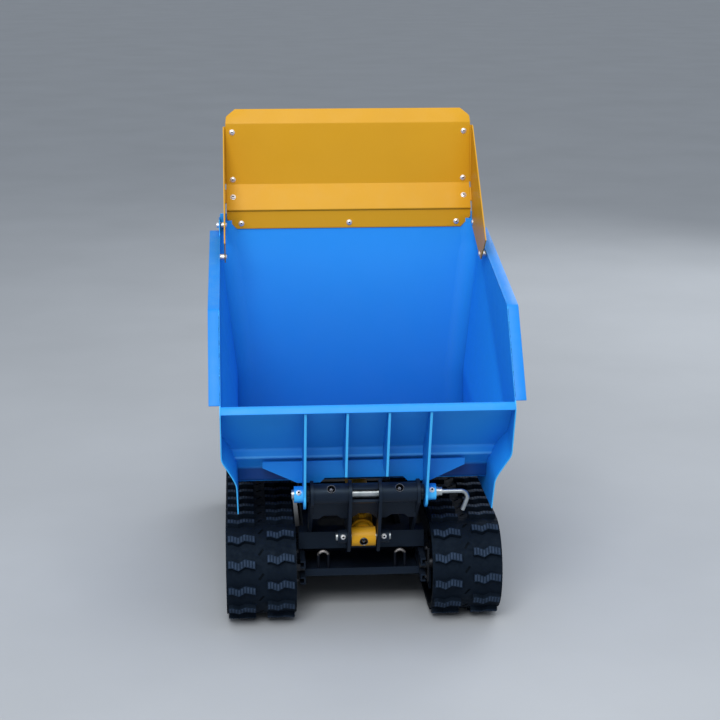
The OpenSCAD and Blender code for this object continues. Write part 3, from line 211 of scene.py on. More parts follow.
def lit_and_shaded_bar(name, z_shade_to, z_highlight_from):
    """A coated bar with painted light: near-black shade up to z_shade_to, and a dull steel highlight from
    z_highlight_from on.
    """
    black, steel, ragged_by = (0.004, 0.006, 0.011), (0.34, 0.32, 0.31), 0.004
    ragged_cells, polish_cells, scratch_cells = 130.0, 160.0, 700.0
    material, tree, shader, where = new_material(name)
    ragged = spread(tree, noise(tree, where, ragged_cells, 4.0), -ragged_by, ragged_by)
    height = maths(tree, "ADD", axes(tree, where)["Z"], ragged)
    top_highlight = spread(tree, height, 0.0, 1.0, z_shade_to, z_highlight_from)
    tree.links.new(blend_colours(tree, top_highlight, black, steel), shader.inputs["Base Color"])
    tree.links.new(spread(tree, top_highlight, 0.0, 0.9, 0.0, 1.0), shader.inputs["Metallic"])
    shader.inputs["Specular IOR Level"].default_value = 0.1
    polish = noise(tree, where, polish_cells, 4.0)
    tree.links.new(spread(tree, polish, 0.38, 0.55), shader.inputs["Roughness"])
    bump(tree, shader, noise(tree, where, scratch_cells, 2.0), 0.0003, 0.3)
    return material


eye_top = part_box("lashing_eyes")[1][2]
highlight_starts_below, highlight_full_below = 0.012, 0.006
# Each eye's top is a painted steel highlight, and its legs are painted dark as shade.
finish(lit_and_shaded_bar("rubbed_eye", eye_top - highlight_starts_below, eye_top - highlight_full_below), "lashing_eyes")


# Wheels, gear motors and hydraulic unit
# Sprockets, idlers and rollers are castings with the frame's black coat. The gear motors and the
# hydraulic unit are aluminium castings with a sand-grained skin.

finish(black_coat, "left_sprocket", "right_sprocket", "left_idler", "right_idler",
       *[f"{side}_roller_{k}" for side in ("left", "right") for k in (1, 2, 3)])


def casting(name, colour, shade, roughness):
    """Sand-cast metal: grainy, with darker hollows between the grains."""
    grain_cells, grain_depth = 520.0, 0.0006
    material, tree, shader, where = new_material(name)
    grain = noise(tree, where, grain_cells, 6.0)
    skin = blend_colours(tree, spread(tree, grain, 0.0, 1.0), shade, colour)
    tree.links.new(skin, shader.inputs["Base Color"])
    shader.inputs["Metallic"].default_value = 0.7
    tree.links.new(spread(tree, grain, roughness + 0.1, roughness - 0.1), shader.inputs["Roughness"])
    bump(tree, shader, grain, grain_depth)
    return material


cast_metal = casting("sand_cast_aluminium", (0.34, 0.35, 0.36), (0.22, 0.23, 0.24), 0.5)
finish(cast_metal, "gear_motors", "hydraulic_unit")


# Rubber belts
# Moulded rubber over cords. The flanks are near black, and the lugs' worn tops are a paler
# blue-grey and carry a row of moulded ribs along the belt's run.

joint_at = {j["name"]: np.array(j["pos_m"]) for j in frame["joints"] if "pos_m" in j}
link = 0.06
teeth = 12
run_links = 14
loop_links = 2 * run_links + teeth
pitch_radius = link * teeth / (2 * math.pi)
belt_thick = 0.012
belt_wide = 0.18
groove_wide = 0.03
lug_high = 0.0124
lug_land = 0.020
lug_margin = 0.005
lug_long = (belt_wide - groove_wide) / 2 - lug_margin
wave_at, wave_by = (0, 0.14, 0.38, 0.62, 1), (0, 0.001, -0.006, 0.004, -0.002)
belt_phase = {"left": 0.22, "right": 0.14}
column_lag = 0.2


def rubber(name, centre, half_run, worn_colour):
    """Dark rubber. Its distance from the belt's loop line picks out the lugs' worn tops, and what
    lies below the belt's outer skin, such as the slits' floors, is painted darker as shade."""
    # The blue cast in these tones and in the gloss tint below is painted reflection of the blue
    # surroundings.
    dark, less_dark = (0.0022, 0.0042, 0.0088), (0.0040, 0.0072, 0.0140)
    dust_colour, slit_painted_shade = (0.024, 0.034, 0.050), (0.0006, 0.0010, 0.0020)
    skin_cells, cloud_cells, dust_cells, gloss_cells, grain_cells = 9.0, 60.0, 24.0, 90.0, 650.0
    outer_skin = pitch_radius + belt_thick / 2
    lug_top = outer_skin + lug_high
    worn_from, worn_full = lug_top - 0.0016, lug_top - 0.0004
    slit_shade_full, slit_shade_from = outer_skin - 0.0016, outer_skin - 0.0008
    material, tree, shader, where = new_material(name)
    place = axes(tree, where)
    along = maths(tree, "ABSOLUTE", maths(tree, "SUBTRACT", place["Y"], centre[1]))
    past = maths(tree, "MAXIMUM", maths(tree, "SUBTRACT", along, half_run), 0.0)
    over = maths(tree, "SUBTRACT", place["Z"], centre[2])
    squares = maths(tree, "ADD", maths(tree, "MULTIPLY", past, past), maths(tree, "MULTIPLY", over, over))
    reach = maths(tree, "POWER", squares, 0.5)
    worn = spread(tree, reach, 0.0, 1.0, worn_from, worn_full)
    cloud = spread(tree, noise(tree, where, cloud_cells, 5.0), 0.55, 1.0)
    skin = blend_colours(tree, noise(tree, where, skin_cells, 4.0), dark, less_dark)
    shade = blend_colours(tree, maths(tree, "MULTIPLY", worn, cloud), skin, worn_colour)
    dust = spread(tree, noise(tree, where, dust_cells, 6.0), 0.0, 0.16, 0.5, 0.8)
    dusty = blend_colours(tree, dust, shade, dust_colour)
    # Painted shade: below the outer skin, as in the slits, the rubber is painted near black.
    inside = spread(tree, reach, 1.0, 0.0, slit_shade_full, slit_shade_from)
    tree.links.new(blend_colours(tree, inside, dusty, slit_painted_shade), shader.inputs["Base Color"])
    gloss = noise(tree, where, gloss_cells, 4.0)
    tree.links.new(spread(tree, gloss, 0.62, 0.86), shader.inputs["Roughness"])
    shader.inputs["Specular IOR Level"].default_value = 0.16
    shader.inputs["Specular Tint"].default_value = (0.50, 0.74, 1.0, 1.0)
    bump(tree, shader, noise(tree, where, grain_cells, 4.0), 0.0006, 0.45)
    return material


def put_mesh(name, points, faces, material, smooth=None):
    """A mesh object at the origin. Smooth is the angle in degrees below which edges shade smooth."""
    mesh = bpy.data.meshes.new(name)
    mesh.from_pydata(points.reshape(-1, 3).tolist(), [], [list(face) for face in faces])
    if smooth is not None:
        mesh.polygons.foreach_set("use_smooth", np.ones(len(mesh.polygons), bool))
        mesh.set_sharp_from_angle(angle=math.radians(smooth))
    mesh.materials.append(material)
    piece = bpy.data.objects.new(name, mesh)
    bpy.context.scene.collection.objects.link(piece)
    return piece


def on_loop(links, idler, sprocket):
    """Places round the belt: straight runs of run_links, and half circles of the pitch radius.
    Gives the pitch line's points and the outward angle, for distances counted in links."""
    half, turn, quarter = teeth / 2, 2 * math.pi / teeth, math.pi / 2
    low, rear, high = run_links, run_links + half, 2 * run_links + half
    upper = np.where(links < high, quarter, quarter + (links - high) * turn)
    lower = np.where(links < low, -quarter, -quarter + (links - low) * turn)
    angle = np.where(links < rear, lower, upper)
    round_y = np.where((links >= low) & (links < high), sprocket[1], idler[1])
    back = np.where((links >= rear) & (links < high), rear - links, 0.0)
    slide = np.where(links < low, links, back) * link
    y = round_y + slide + pitch_radius * np.cos(angle)
    z = idler[2] + pitch_radius * np.sin(angle)
    return y, z, angle


def tread_ribs(side):
    """Small tapered bars on every lug's top: bar i sits at x_i across the belt, follows the lug's
    wave in the belt's direction, and stands a little proud of the lug."""
    idler, sprocket = joint_at[f"{side}_idler_spin"], joint_at[f"{side}_drive"]
    count, width, proud, sunk, taper, inset = 9, 0.0052, 0.0008, 0.0006, 0.0006, 0.0014
    share = (np.arange(count) + 0.5) / count
    wave = np.tile(np.interp(share, wave_at, wave_by), 2)
    starts = (lug_margin - belt_wide / 2, groove_wide / 2)
    x = np.concatenate([start + share * lug_long for start in starts])
    lag = np.repeat([0.0, column_lag], count)
    step = np.arange(loop_links)[:, None]
    links = (step + belt_phase[side] - lag[None, :]) % loop_links
    y, z, angle = on_loop(links, idler, sprocket)
    top = belt_thick / 2 + lug_high
    corners = []
    for height, slim in ((top - sunk, 0.0), (top + proud, taper)):
        for dx, dy in ((-1, -1), (1, -1), (1, 1), (-1, 1)):
            across = dx * (width / 2 - slim)
            onward = wave[None, :] + dy * (lug_land / 2 - inset - slim)
            corners.append(np.stack([idler[0] + x[None, :] + across + 0 * y,
                                     y + onward * np.sin(angle) + height * np.cos(angle),
                                     z - onward * np.cos(angle) + height * np.sin(angle)], axis=-1))
    points = np.stack(corners, axis=2).reshape(-1, 8, 3)
    quads = np.array([[4, 5, 6, 7], [0, 1, 5, 4], [1, 2, 6, 5], [2, 3, 7, 6], [3, 0, 4, 7], [3, 2, 1, 0]])
    faces = (np.arange(len(points))[:, None, None] * 8 + quads[None]).reshape(-1, 4)
    return points, faces


for side in ("left", "right"):
    idler, sprocket = joint_at[f"{side}_idler_spin"], joint_at[f"{side}_drive"]
    middle, half_run = (idler + sprocket) / 2, (sprocket[1] - idler[1]) / 2
    belt_rubber = rubber(f"{side}_belt_rubber", middle, half_run, (0.011, 0.021, 0.040))
    finish(belt_rubber, f"{side}_track_belt")
    rib_rubber = rubber(f"{side}_rib_rubber", middle, half_run, (0.034, 0.054, 0.094))
    ribs = put_mesh(f"{side}_tread_ribs", *tread_ribs(side), rib_rubber)
    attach(ribs, "chassis")


# Pivot bracket and ram
# The bracket is welded plate and tube with the black coat, and the ram has an amber barrel and a
# ground chrome rod. Lock screws hold both pins, and grease ports stand on the tubes and the eye.

finish(black_coat, "pivot_bracket")
pivot = joint_at["skip_tip"]
tube_radius, tube_wall = 0.026, 0.008
window_half, window_edges = 0.0345, (40, 322)
spacer_radius, spacer_x = 0.021, np.array([0.139, 0.145, 0.1506])


def grid_faces(rows, columns):
    """Quads between neighbouring rows and columns of a grid of points."""
    index = np.arange(rows * columns).reshape(rows, columns)
    quads = [index[:-1, :-1], index[1:, :-1], index[1:, 1:], index[:-1, 1:]]
    return np.stack(quads, axis=-1).reshape(-1, 4)


def sheet_piece(name, grid, thick, material, body, slot, *replaced, lining=None):
    """Sheet metal: a grid of points on its outer face, thickened inwards, with its edges eased. Its
    inner face may have another finish, its lining."""
    smooth_below, eased_share, eased_above = 35.0, 0.28, 50
    piece = put_mesh(name, grid, grid_faces(*grid.shape[:2]), material, smooth_below)
    wall = piece.modifiers.new("wall", "SOLIDIFY")
    if lining:
        piece.data.materials.append(lining)
        wall.material_offset = 1
    wall.thickness = thick
    wall.offset = -1.0
    wall.use_even_offset = True
    eased = piece.modifiers.new("eased", "BEVEL")
    eased.width = thick * eased_share
    eased.segments = 2
    eased.limit_method = "ANGLE"
    eased.angle_limit = math.radians(eased_above)
    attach(piece, body)
    if replaced:
        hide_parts(*replaced)


def ring_grid(x, radius, turn):
    """A round about the tip axis: the angles of turn, from the front upwards, at each of the x."""
    x = x[:, None]
    return np.stack([x + 0 * turn, pivot[1] - radius * np.cos(turn) + 0 * x,
                     pivot[2] + radius * np.sin(turn) + 0 * x], axis=-1)


window_tube = ring_grid(np.linspace(-window_half, window_half, 5), tube_radius,
                        np.radians(np.linspace(*window_edges, 80)))
sheet_piece("pivot_tube_middle", window_tube, tube_wall, black_coat, "chassis", "frame_black")
for side, sign in (("left", -1), ("right", 1)):
    spacer = ring_grid(sign * spacer_x[::sign], spacer_radius, np.linspace(0, 2 * math.pi, 49))
    sheet_piece(f"pivot_{side}_spacer", spacer, tube_wall, black_coat, "chassis", "frame_black")


def turned(profile, centre, up, apart=(0.0, 0.0), steps=36):
    """A turned shape: the profile's (radius, height) pairs in millimetres carried round the axis up
    through the centre. Its quarters may be moved apart, which makes a rounded rectangle of it. The
    first and last rings are closed by flat ends."""
    side = np.array([0.0, 1.0, 0.0] if abs(up[0]) > 0.5 else [1.0, 0.0, 0.0])
    ahead = np.cross(up, side)
    turn = np.arange(steps)[:, None] * 2 * math.pi / steps
    radius, height = np.array(profile, float).T[..., None, None] / 1000
    off_axis = turn % math.pi > 1e-6
    quarters = (side * apart[0] * np.sign(np.cos(turn))
                + ahead * apart[1] * np.sign(np.sin(turn)) * off_axis)
    points = (np.array(centre) + quarters + height * np.array(up)
              + radius * (side * np.cos(turn) + ahead * np.sin(turn)))
    index = np.arange(len(profile) * steps).reshape(-1, steps)
    onward = np.roll(index, -1, axis=1)
    quads = np.stack([index[:-1], onward[:-1], onward[1:], index[1:]], axis=-1).reshape(-1, 4)
    return points, quads.tolist() + [index[0, ::-1].tolist(), index[-1].tolist()]


def turned_piece(name, profile, centres, up, outer, inner, inner_from, body, apart=(0.0, 0.0)):
    """Like turned shapes at the centres, in two finishes: the inner one from the profile's stretch
    inner_from on, and in the last end."""
    points, faces, smooth_below = [], [], 30.0
    for centre in centres:
        shape, shape_faces = turned(profile, centre, up, apart)
        first = len(points) * shape[..., 0].size
        faces += [[first + corner for corner in face] for face in shape_faces]
        points.append(shape)
    piece = put_mesh(name, np.array(points), faces, outer, smooth_below)
    piece.data.materials.append(inner)
    stretch = np.arange(len(shape_faces)) // shape.shape[1]
    stretch[-2:] = 0, len(profile)
    inside = np.tile(stretch >= inner_from, len(centres))
    piece.data.polygons.foreach_set("material_index", inside.astype(np.int32))
    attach(piece, body)
    return piece


def facing(degrees):
    """A direction in the middle plane that faces up at 0 degrees and forward at 90."""
    return np.array([0.0, -math.sin(math.radians(degrees)), math.cos(math.radians(degrees))])


amber_coat = paint("amber_powder_coat", (0.64, 0.325, 0.012), (0.59, 0.295, 0.010), (0.62, 0.40, 0.12))
finish(amber_coat, "ram_barrel")
chrome = plated("ground_chrome", (0.80, 0.81, 0.83), (0.74, 0.75, 0.77), 0.12)
finish(chrome, "ram_rod")
# Painted shade: the near-black finish inside the grease ports' bores and the screws' sockets stands for
# the shade in these recesses.
bore_shade_black = paint("grease_in_the_bore", (0.0010, 0.0012, 0.0016), (0.0016, 0.0019, 0.0026),
                     (0.002, 0.002, 0.003), 0.5, 0.05)

port_profile = [(11.2, -8.6), (11.2, 0.3), (10.8, 0.8), (10.2, 0.8), (9.8, 0.3), (6.9, 0.2), (6.8, -7.6)]
port_bore = 4
ram_foot = joint_at["ram_swing"]
eye_radius, port_x = 0.025, 0.0865
tube_port, eye_port = facing(45), facing(105)
mirrored = np.array([[-1.0, 0.0, 0.0], [1.0, 0.0, 0.0]])
turned_piece("tube_grease_ports", port_profile, pivot + tube_port * tube_radius + mirrored * port_x,
             tube_port, dull_zinc, bore_shade_black, port_bore, "chassis")
turned_piece("ram_eye_grease_port", port_profile, [ram_foot + eye_port * eye_radius], eye_port,
             dull_zinc, bore_shade_black, port_bore, "ram_barrel")

# A brighter copy of the zinc: painted light, standing for the glints on the screw heads.
bright_lit_bolt_zinc = plated("new_bolt_zinc", (0.90, 0.91, 0.92), (0.74, 0.76, 0.78), 0.52)
screw_profile = [(4.0, -14.0), (4.0, 0.0), (6.6, 0.0), (6.6, 1.2), (6.3, 1.5), (5.4, 1.5), (5.4, 4.4),
                 (4.9, 5.6), (3.8, 6.4), (2.9, 6.5), (2.6, 6.2), (2.6, 3.4)]
screw_socket = 10
washer_radius = 0.0084
for screw, axis_at, lean, seat, body, node in (
        ("base_pin", ram_foot, facing(75), 0.018, "chassis", "base_pin_bolts"),
        ("pivot_pin", pivot, facing(60), 0.021, "skip", "pivot_pin_bolts")):
    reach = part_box(node)[1][0] - washer_radius
    screws = turned_piece(f"{screw}_screws", screw_profile, axis_at + lean * seat + mirrored * reach,
                          lean, bright_lit_bolt_zinc, bore_shade_black, screw_socket, body)
    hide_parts(node)


# Skip
# Three millimetre sheet with a bright blue powder coat: one sheet bent into lip, front slope, floor
# and rear wall, and a flared sheet each side with a turned-out rim, welded along the corners.

blue, blue_shade, blue_dust = (0.010, 0.235, 0.74), (0.009, 0.215, 0.70), (0.10, 0.32, 0.66)
blue_coat = paint("blue_powder_coat", blue, blue_shade, blue_dust)
edge_highlight_coat = paint("blue_coat_pale_edges", blue, blue_shade, blue_dust, edge=(0.060, 0.500, 1.0))
skip_sheet = 0.003


def from_pivot(*points):
    """Points given in millimetres behind and above the skip's pivot, in metres in the frame."""
    return np.array(points, float) / 1000 + pivot[1:]


def bent_line(points, radii, step=0.02):
    """A line of straight stretches, with an arc at every inner point, cut so that no stretch is
    longer than step. Radii is one radius for all arcs or one for each."""
    arc_points, most_of_stretch = 9, 0.45
    pieces = [points[:1]]
    radii = np.broadcast_to(radii, len(points) - 2)
    for before, corner, after, radius in zip(points[:-2], points[1:-1], points[2:], radii):
        back, on = before - corner, after - corner
        reach_back, reach_on = np.linalg.norm(back), np.linalg.norm(on)
        back, on = back / reach_back, on / reach_on
        half = math.acos(np.clip(back @ on, -1, 1)) / 2
        tangent = min(radius / math.tan(half), most_of_stretch * min(reach_back, reach_on))
        middle = (back + on) / np.linalg.norm(back + on)
        centre = corner + middle * tangent / math.cos(half)
        turn = np.linspace(-1, 1, arc_points)[:, None] * (math.pi / 2 - half)
        across = np.array([-middle[1], middle[0]])
        across = across * np.sign(on @ across)
        arc = -middle * np.cos(turn) + across * np.sin(turn)
        pieces.append(centre + tangent * math.tan(half) * arc)
    line = np.concatenate(pieces + [points[-1:]])
    cuts = [np.linspace(start, end, max(2, 1 + math.ceil(np.linalg.norm(end - start) / step)))[:-1]
            for start, end in zip(line[:-1], line[1:])]
    return np.concatenate(cuts + [line[-1:]])


folds_ahead, folds_long = 0.134, 0.745
low_fold, low_climb = 0.026, 0.169
high_fold, high_climb = 0.077, 0.495
lean_front, lean_more = 0.036, 0.006
foot_half, foot_spread, foot_down = 0.323, 0.039, 0.041
ease, ease_steps = 0.012, 7


def half_width(y, up):
    """Distance of a side's outer face from the middle, at y behind and up above the pivot. Below the
    lower fold the side stands nearly upright, then leans out to the upper fold and stands upright
    again; both folds climb to the rear, and the mean over a small span of heights eases them."""
    rearward = (y + folds_ahead) / folds_long
    low, high = low_fold + low_climb * rearward, high_fold + high_climb * rearward
    lean = lean_front + lean_more * rearward
    total = 0.0
    for nudge in np.linspace(-ease, ease, ease_steps):
        foot_share = np.clip((up + nudge + foot_down) / (low + foot_down), 0, 1)
        lean_share = np.clip((up + nudge - low) / (high - low), 0, 1)
        total = total + foot_half + (foot_spread - lean) * foot_share + lean * lean_share
    return total / ease_steps


def carried_across(line, half, columns=13):
    """A fold line (y, z) carried across from -half to half, which may change along the line."""
    x = half[:, None] * np.linspace(-1, 1, columns)
    return np.stack([x, line[:, :1] + 0 * x, line[:, 1:] + 0 * x], axis=-1)


wrap_line = bent_line(from_pivot((-128, 248), (-114, 267), (35, 112), (41, 86), (74, 53), (78, 9),
                                 (565, 9), (605, 534), (605, 619)), [0.014] * 6 + [0.9])
wrap_half = half_width(*(wrap_line - pivot[1:]).T) - skip_sheet


def painted_light_patch(colour, y_none, y_full, z_none, z_full):
    """A patch of painted light on a coat, shading or highlighting it, with its limits in millimetres
    behind and above the pivot.
    """
    return (colour, *from_pivot((y_none, z_none), (y_full, z_full)).T.ravel())


# Painted shade: the rear wall and floor darken towards the bottom, and the wall under the front slope is
# painted dark.
painted_shade_low_inside = painted_light_patch((0.006, 0.120, 0.46), 85, 110, 560, 20)
painted_shade_under_front = painted_light_patch((0.004, 0.050, 0.22), 82, 80, 56, 46)
# Painted highlights: thin paler lines along the two folds under the front slope.
painted_highlight_upper_fold = painted_light_patch((0.036, 0.325, 0.87), 37.2, 36.0, 115.5, 113.5)
painted_highlight_lower_fold = painted_light_patch((0.100, 0.480, 1.00), 45.8, 43.6, 91.5, 89.0)
# A lighter copy of the blue coat for the bent sheet: painted light.
lighter_inside_coat = paint("blue_coat_inside", (0.022, 0.300, 0.86), (0.019, 0.280, 0.82), blue_dust,
                    painted_light_patches=(painted_shade_low_inside, painted_shade_under_front, painted_highlight_upper_fold, painted_highlight_lower_fold))
sheet_piece("skip_bent_sheet", carried_across(wrap_line, wrap_half), skip_sheet, lighter_inside_coat, "skip",
            "skip_blue", "skip_wrap")

front_edge = np.array([(-41, -22), (246, -124), (269, -114), (473, 41), (564, 557), (609, 557)]) / 1000
rear_edge = np.array([(-41, 555), (9, 565), (534, 605), (609, 605)]) / 1000
weld_radius, weld_lap, weld_root = 0.050, 0.0004, 0.001
weld_low, weld_high, weld_smooth = 0.016, 0.600, 40.0
rim_inner, rim_wide = 0.359, 0.029
rim_line = bent_line(from_pivot((603, 572), (41, 473), (-114, 269)), 0.02)


def side_grid(sign):
    """A side sheet: at each height it runs from the front edge to the rear edge, both lines of
    (height, y), and stands at half_width(y, height)."""
    up = np.linspace(front_edge[0, 0], front_edge[-1, 0], 100)
    front, rear = np.interp(up, *front_edge.T), np.interp(up, *rear_edge.T)
    share = np.linspace(1, 0, 37) if sign > 0 else np.linspace(0, 1, 37)
    y = front[:, None] + share * (rear - front)[:, None]
    z = up[:, None] + 0 * y
    return np.stack([sign * half_width(y, z), pivot[1] + y, pivot[2] + z], axis=-1)


def corner_grid(sign):
    """The corner's filled and ground weld: an arc between the rear sheet's and the side's inner
    faces, at each height, with its root in the corner."""
    up = np.linspace(weld_low, weld_high, 60)
    wall = np.interp(up, *rear_edge.T) - skip_sheet
    side = half_width(wall - weld_radius, up) - skip_sheet
    root = half_width(wall, up) - skip_sheet + weld_root
    turn = np.linspace(0, math.pi / 2, 17)
    arc_x = side[:, None] + weld_lap - weld_radius + weld_radius * np.cos(turn)
    arc_y = wall[:, None] - weld_radius + weld_radius * np.sin(turn)
    x = np.concatenate([arc_x, root[:, None], arc_x[:, :1]], axis=1)
    y = np.concatenate([arc_y, wall[:, None] + weld_root, arc_y[:, :1]], axis=1)
    points = np.stack([sign * x, pivot[1] + y, pivot[2] + up[:, None] + 0 * x], axis=-1)
    return points if sign > 0 else points[:, ::-1]


def rim_grid(sign):
    """The rim: the rounded rim line carried sideways over the flange's width."""
    share = np.linspace(0, 1, 3) if sign > 0 else np.linspace(1, 0, 3)
    x = sign * (rim_inner + rim_wide * share)
    rows = np.ones((len(rim_line), 1))
    return np.stack([rows * x, rim_line[:, :1] + 0 * x, rim_line[:, 1:] + 0 * x], axis=-1)


# A lighter copy of the blue coat for the sides' inner faces: painted light.
lighter_side_lining = paint("blue_coat_side_inside", (0.016, 0.285, 0.86), (0.014, 0.268, 0.82), blue_dust)
for side, sign in (("left", -1), ("right", 1)):
    sheet_piece(f"skip_{side}_sheet", side_grid(sign), skip_sheet, edge_highlight_coat, "skip", "skip_blue",
                f"skip_{side}_side", lining=lighter_side_lining)
    sheet_piece(f"skip_{side}_rim", rim_grid(sign), skip_sheet, blue_coat, "skip", "skip_blue")
    corner = corner_grid(sign)
    weld = put_mesh(f"skip_{side}_corner_weld", corner, grid_faces(*corner.shape[:2]), lighter_inside_coat,
                    weld_smooth)
    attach(weld, "skip")
finish(blue_coat, "ram_lugs", "front_gusset")
finish(edge_highlight_coat, "inner_ribs", "pivot_ears")


# Guard
# Thin sheet with an amber powder coat, folded into a lower strip, a sloping strip that steps out over
# it, a tall panel and a tilted crest, with its corners cut off. Button-head screws hold it to the
# skip's rear wall and to the wings, and the wings to the skip's sides.

guard_sheet = 0.003
guard_line = bent_line(from_pivot((602, 576), (602, 626.0), (597.2, 629.6), (639, 694), (639, 863),
                                  (659, 900)), [0.004, 0.0005, 0.006, 0.006], 0.006)
guard_outline = np.array([(576, 313), (604, 340), (863, 340), (881, 338), (900, 313)]) / 1000
guard_half = np.interp(guard_line[:, 1] - pivot[2], *guard_outline.T)
sheet_piece("guard_bent_sheet", carried_across(guard_line, guard_half), guard_sheet, amber_coat, "skip",
            "guard_amber", "guard_panel")
finish(amber_coat, "left_guard_wing", "right_guard_wing")

button_head = [(7.7, 0.0), (7.7, 0.9), (6.7, 1.2), (6.1, 2.4), (4.8, 3.4), (2.7, 3.9), (2.3, 3.6),
               (2.2, 1.8)]
guard_screw = [(7.2, -12.4), (7.2, -6.0), (4.0, -6.0), (4.0, 0.0)] + button_head
wing_screw = [(7.2, -24.4), (7.2, -18.0), (4.0, -18.0), (4.0, -15.0), (8.0, -15.0), (8.0, -3.0),
              (4.0, -3.0), (4.0, 0.0)] + button_head
socket_stretches = 2


def guard_screws(name, profile, places, up):
    """Screws at places given as x from the middle, y behind and z above the pivot, in millimetres."""
    centres = np.array(places, float) / 1000 + (0.0, *pivot[1:])
    return turned_piece(name, profile, centres, up, bright_lit_bolt_zinc, bore_shade_black,
                        len(profile) - socket_stretches, "skip")


panel_places = [(-322, 636, 839), (322, 636, 839), (-322, 636, 708), (322, 636, 708),
                (-300, 599, 591), (0, 599, 591), (300, 599, 591)]
strip_places = [(-322, 615.0, 662.5), (322, 615.0, 662.5)]
strip_slope = 57
panel_screws = guard_screws("guard_panel_screws", guard_screw, panel_places, facing(90))
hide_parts("guard_bolts")
guard_screws("guard_strip_screws", guard_screw, strip_places, facing(strip_slope))
for side, sign in (("left", -1), ("right", 1)):
    wing_places = [(sign * 344, 578, 591), (sign * 344, 432, 529)]
    guard_screws(f"guard_{side}_wing_screws", wing_screw, wing_places, np.array([-sign, 0.0, 0.0]))


# Rear body and its equipment
# Bent sheet with the skip's blue coat, with louvre hoods pressed out over its side slots and a door
# on hinges. It covers two batteries in black plastic cases, and the skip rests on rubber buffers.

finish(blue_coat, "body_shell", "body_top", "rear_door")
shell_low, shell_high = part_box("body_shell")
body_high = 0.514
body_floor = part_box("body_top")[0][2] - body_high
hood_sheet, hood_gap = 0.0015, 0.0002
hood_out, hood_long, hood_tall, end_power = 0.0105, 0.158, 0.024, 0.45
hood_behind, lowest_hood, hood_pitch, hood_count = 0.106, 0.238, 0.030, 6


def hood_grid(sign, slot):
    """A louvre hood pressed out over a slot: it swells from the wall at its top edge to its lower
    edge by a quarter wave, and runs out to the wall at both ends by a power of a half wave along its
    length."""
    along = np.linspace(0, 1, 41)[:, None]
    down = np.linspace(1, 0, 13)
    swell = hood_out * np.sin(math.pi * along) ** end_power * np.sin(down * math.pi / 2)
    y = shell_low[1] + hood_behind + hood_long * (along if sign > 0 else 1 - along)
    z = body_floor + lowest_hood + hood_pitch * slot + hood_tall * (1 - down)
    return np.stack([sign * (shell_high[0] + hood_gap + swell), y + 0 * swell, z + 0 * swell], axis=-1)


for side, sign in (("left", -1), ("right", 1)):
    for slot in range(hood_count):
        sheet_piece(f"{side}_louvre_hood_{slot + 1}", hood_grid(sign, slot), hood_sheet, blue_coat,
                    "chassis", "skip_blue")


def moulded(name, colour, shade, roughness, grain):
    """Moulded plastic or rubber: fine grain in the mould's skin and slightly cloudy gloss."""
    cloud_cells, gloss_cells, grain_depth = 30.0, 70.0, 0.0004
    material, tree, shader, where = new_material(name)
    cloud = spread(tree, noise(tree, where, cloud_cells, 4.0), 0.0, 1.0)
    tree.links.new(blend_colours(tree, cloud, colour, shade), shader.inputs["Base Color"])
    gloss = noise(tree, where, gloss_cells, 4.0)
    tree.links.new(spread(tree, gloss, roughness - 0.06, roughness + 0.08), shader.inputs["Roughness"])
    bump(tree, shader, noise(tree, where, grain), grain_depth, 0.35)
    return material


case_plastic = moulded("battery_case_plastic", (0.030, 0.033, 0.038), (0.040, 0.044, 0.050), 0.5, 700.0)
finish(case_plastic, "battery_pack")
buffer_rubber = moulded("buffer_rubber", (0.014, 0.015, 0.018), (0.020, 0.021, 0.025), 0.8, 500.0)
finish(buffer_rubber, "rest_buffers", "grips")


# Controls and handles
# A grained black console with a charge gauge, a red stop knob, a rocking tip lever and a key, and
# two black bent tubes with rubber grips and squeeze levers.

control_plastic = moulded("control_plastic", (0.022, 0.023, 0.027), (0.030, 0.031, 0.036), 0.45, 900.0)
finish(control_plastic, "console", "tip_lever", "door_latch")
stop_plastic = moulded("stop_knob_plastic", (0.50, 0.018, 0.014), (0.44, 0.014, 0.012), 0.25, 300.0)
finish(stop_plastic, "stop_button")
finish(black_coat, "handle_arms", "left_drive_lever", "right_drive_lever")


def gauge_glass(name, middle):
    """A dark display: five charge bars side by side, the last one unlit, behind a clear pane."""
    bar_count, bar_pitch, half_bar, half_tall = 5, 0.0115, 0.34, 0.0095
    unlit, green = (0.012, 0.022, 0.016), (0.030, 0.260, 0.070)
    dark, less_dark = (0.004, 0.006, 0.007), (0.007, 0.009, 0.011)
    pane_cells, gloss_cells = 40.0, 90.0
    material, tree, shader, where = new_material(name)
    place = axes(tree, where)

    def within(value, target, limit):
        """1 where a value is nearer to its target than the limit, else 0."""
        off = maths(tree, "ABSOLUTE", maths(tree, "SUBTRACT", value, target))
        return maths(tree, "LESS_THAN", off, limit)

    bar = maths(tree, "DIVIDE", maths(tree, "SUBTRACT", place["X"], middle[0]), bar_pitch)
    bar = maths(tree, "ADD", bar, bar_count / 2)
    in_bar = within(maths(tree, "FRACT", bar), 0.5, half_bar)
    in_row = within(bar, bar_count / 2, bar_count / 2)
    shown = maths(tree, "MULTIPLY", in_bar, within(place["Y"], middle[1], half_tall))
    shown = maths(tree, "MULTIPLY", shown, in_row)
    bars = blend_colours(tree, maths(tree, "LESS_THAN", bar, bar_count - 1.0), unlit, green)
    pane = blend_colours(tree, noise(tree, where, pane_cells), dark, less_dark)
    tree.links.new(blend_colours(tree, shown, pane, bars), shader.inputs["Base Color"])
    gloss = noise(tree, where, gloss_cells)
    tree.links.new(spread(tree, gloss, 0.06, 0.14), shader.inputs["Roughness"])
    return material


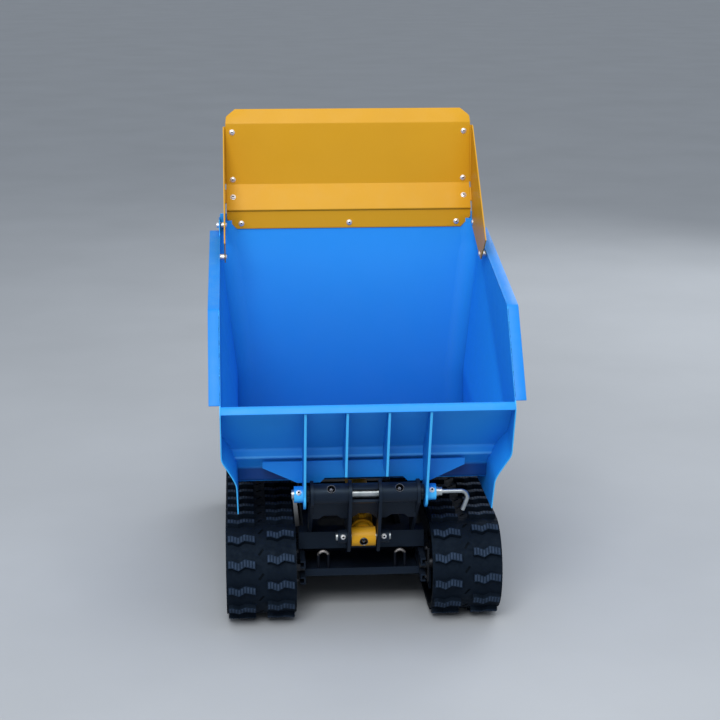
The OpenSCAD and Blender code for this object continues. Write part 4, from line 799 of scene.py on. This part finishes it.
console_slope = 23.806
gauge_x = 0.045
gauge_middle = np.array([gauge_x, *joint_at["key_turn"][1:]])
bezel_profile = [(6.0, 0.05), (6.0, 1.8), (5.3, 2.5), (2.2, 2.5), (1.2, 1.4)]
bezel_spread = (0.035, 0.021)
turned_piece("charge_gauge", bezel_profile, [gauge_middle], facing(-console_slope), control_plastic,
             gauge_glass("charge_gauge_glass", gauge_middle), len(bezel_profile), "chassis",
             bezel_spread)


# Studio
# A pale floor, an even sky and three broad lamps; the camera stands where the photograph's did.

def plain(name, colour, roughness, cells):
    """Floor finish: one pale colour with a faint cloud in it."""
    cloud_shade = 0.93
    material, tree, shader, where = new_material(name)
    cloud = spread(tree, noise(tree, where, cells, 4.0), 0.0, 1.0)
    darker = tuple(cloud_shade * c for c in colour)
    tree.links.new(blend_colours(tree, cloud, colour, darker), shader.inputs["Base Color"])
    shader.inputs["Roughness"].default_value = roughness
    return material


floor_half = 90.0
floor_z = -0.0009
floor_corners = np.array([[-1, -1, 0], [1, -1, 0], [1, 1, 0], [-1, 1, 0]])
floor_coat = plain("pale_floor", (0.44, 0.465, 0.495), 0.8, 1.5)
floor = put_mesh("floor", floor_corners * floor_half + (0, 0, floor_z), [[0, 1, 2, 3]], floor_coat)

world = bpy.data.worlds.new("even_sky")
bpy.context.scene.world = world
world.use_nodes = True
sky = world.node_tree.nodes["Background"]
sky.inputs["Color"].default_value = (0.86, 0.92, 1.0, 1.0)
sky.inputs["Strength"].default_value = 0.52


def lamp(name, place, target, size, watts, colour):
    """A square area lamp that looks at its target."""
    data = bpy.data.lights.new(name, "AREA")
    data.shape = "SQUARE"
    data.size = size
    data.energy = watts
    data.color = colour
    piece = bpy.data.objects.new(name, data)
    bpy.context.scene.collection.objects.link(piece)
    piece.location = place
    x, y, z = np.subtract(target, place)
    piece.rotation_euler = (math.atan2(math.hypot(x, y), -z), 0.0, math.atan2(-x, y))


lamp("top_lamp", (0.1, -1.6, 4.4), (0.0, -0.2, 0.6), 3.0, 54.0, (0.97, 0.98, 1.0))
lamp("front_lamp", (-0.9, -4.2, 4.0), (0.0, -0.2, 0.8), 2.4, 176.0, (1.0, 0.99, 0.97))
lamp("rear_lamp", (2.6, 3.6, 2.8), (0.0, 0.2, 0.6), 2.8, 70.0, (0.98, 0.99, 1.0))

camera_data = bpy.data.cameras.new("camera")
camera_data.sensor_width = 36.0
camera_data.lens = 85.0
camera = bpy.data.objects.new("camera", camera_data)
bpy.context.scene.collection.objects.link(camera)
camera.location = (-0.307, -4.753, 1.765)
camera.rotation_euler = (math.radians(75.59), math.radians(-0.04), math.radians(-4.114))
bpy.context.scene.camera = camera
bpy.context.scene.view_settings.view_transform = "Standard"
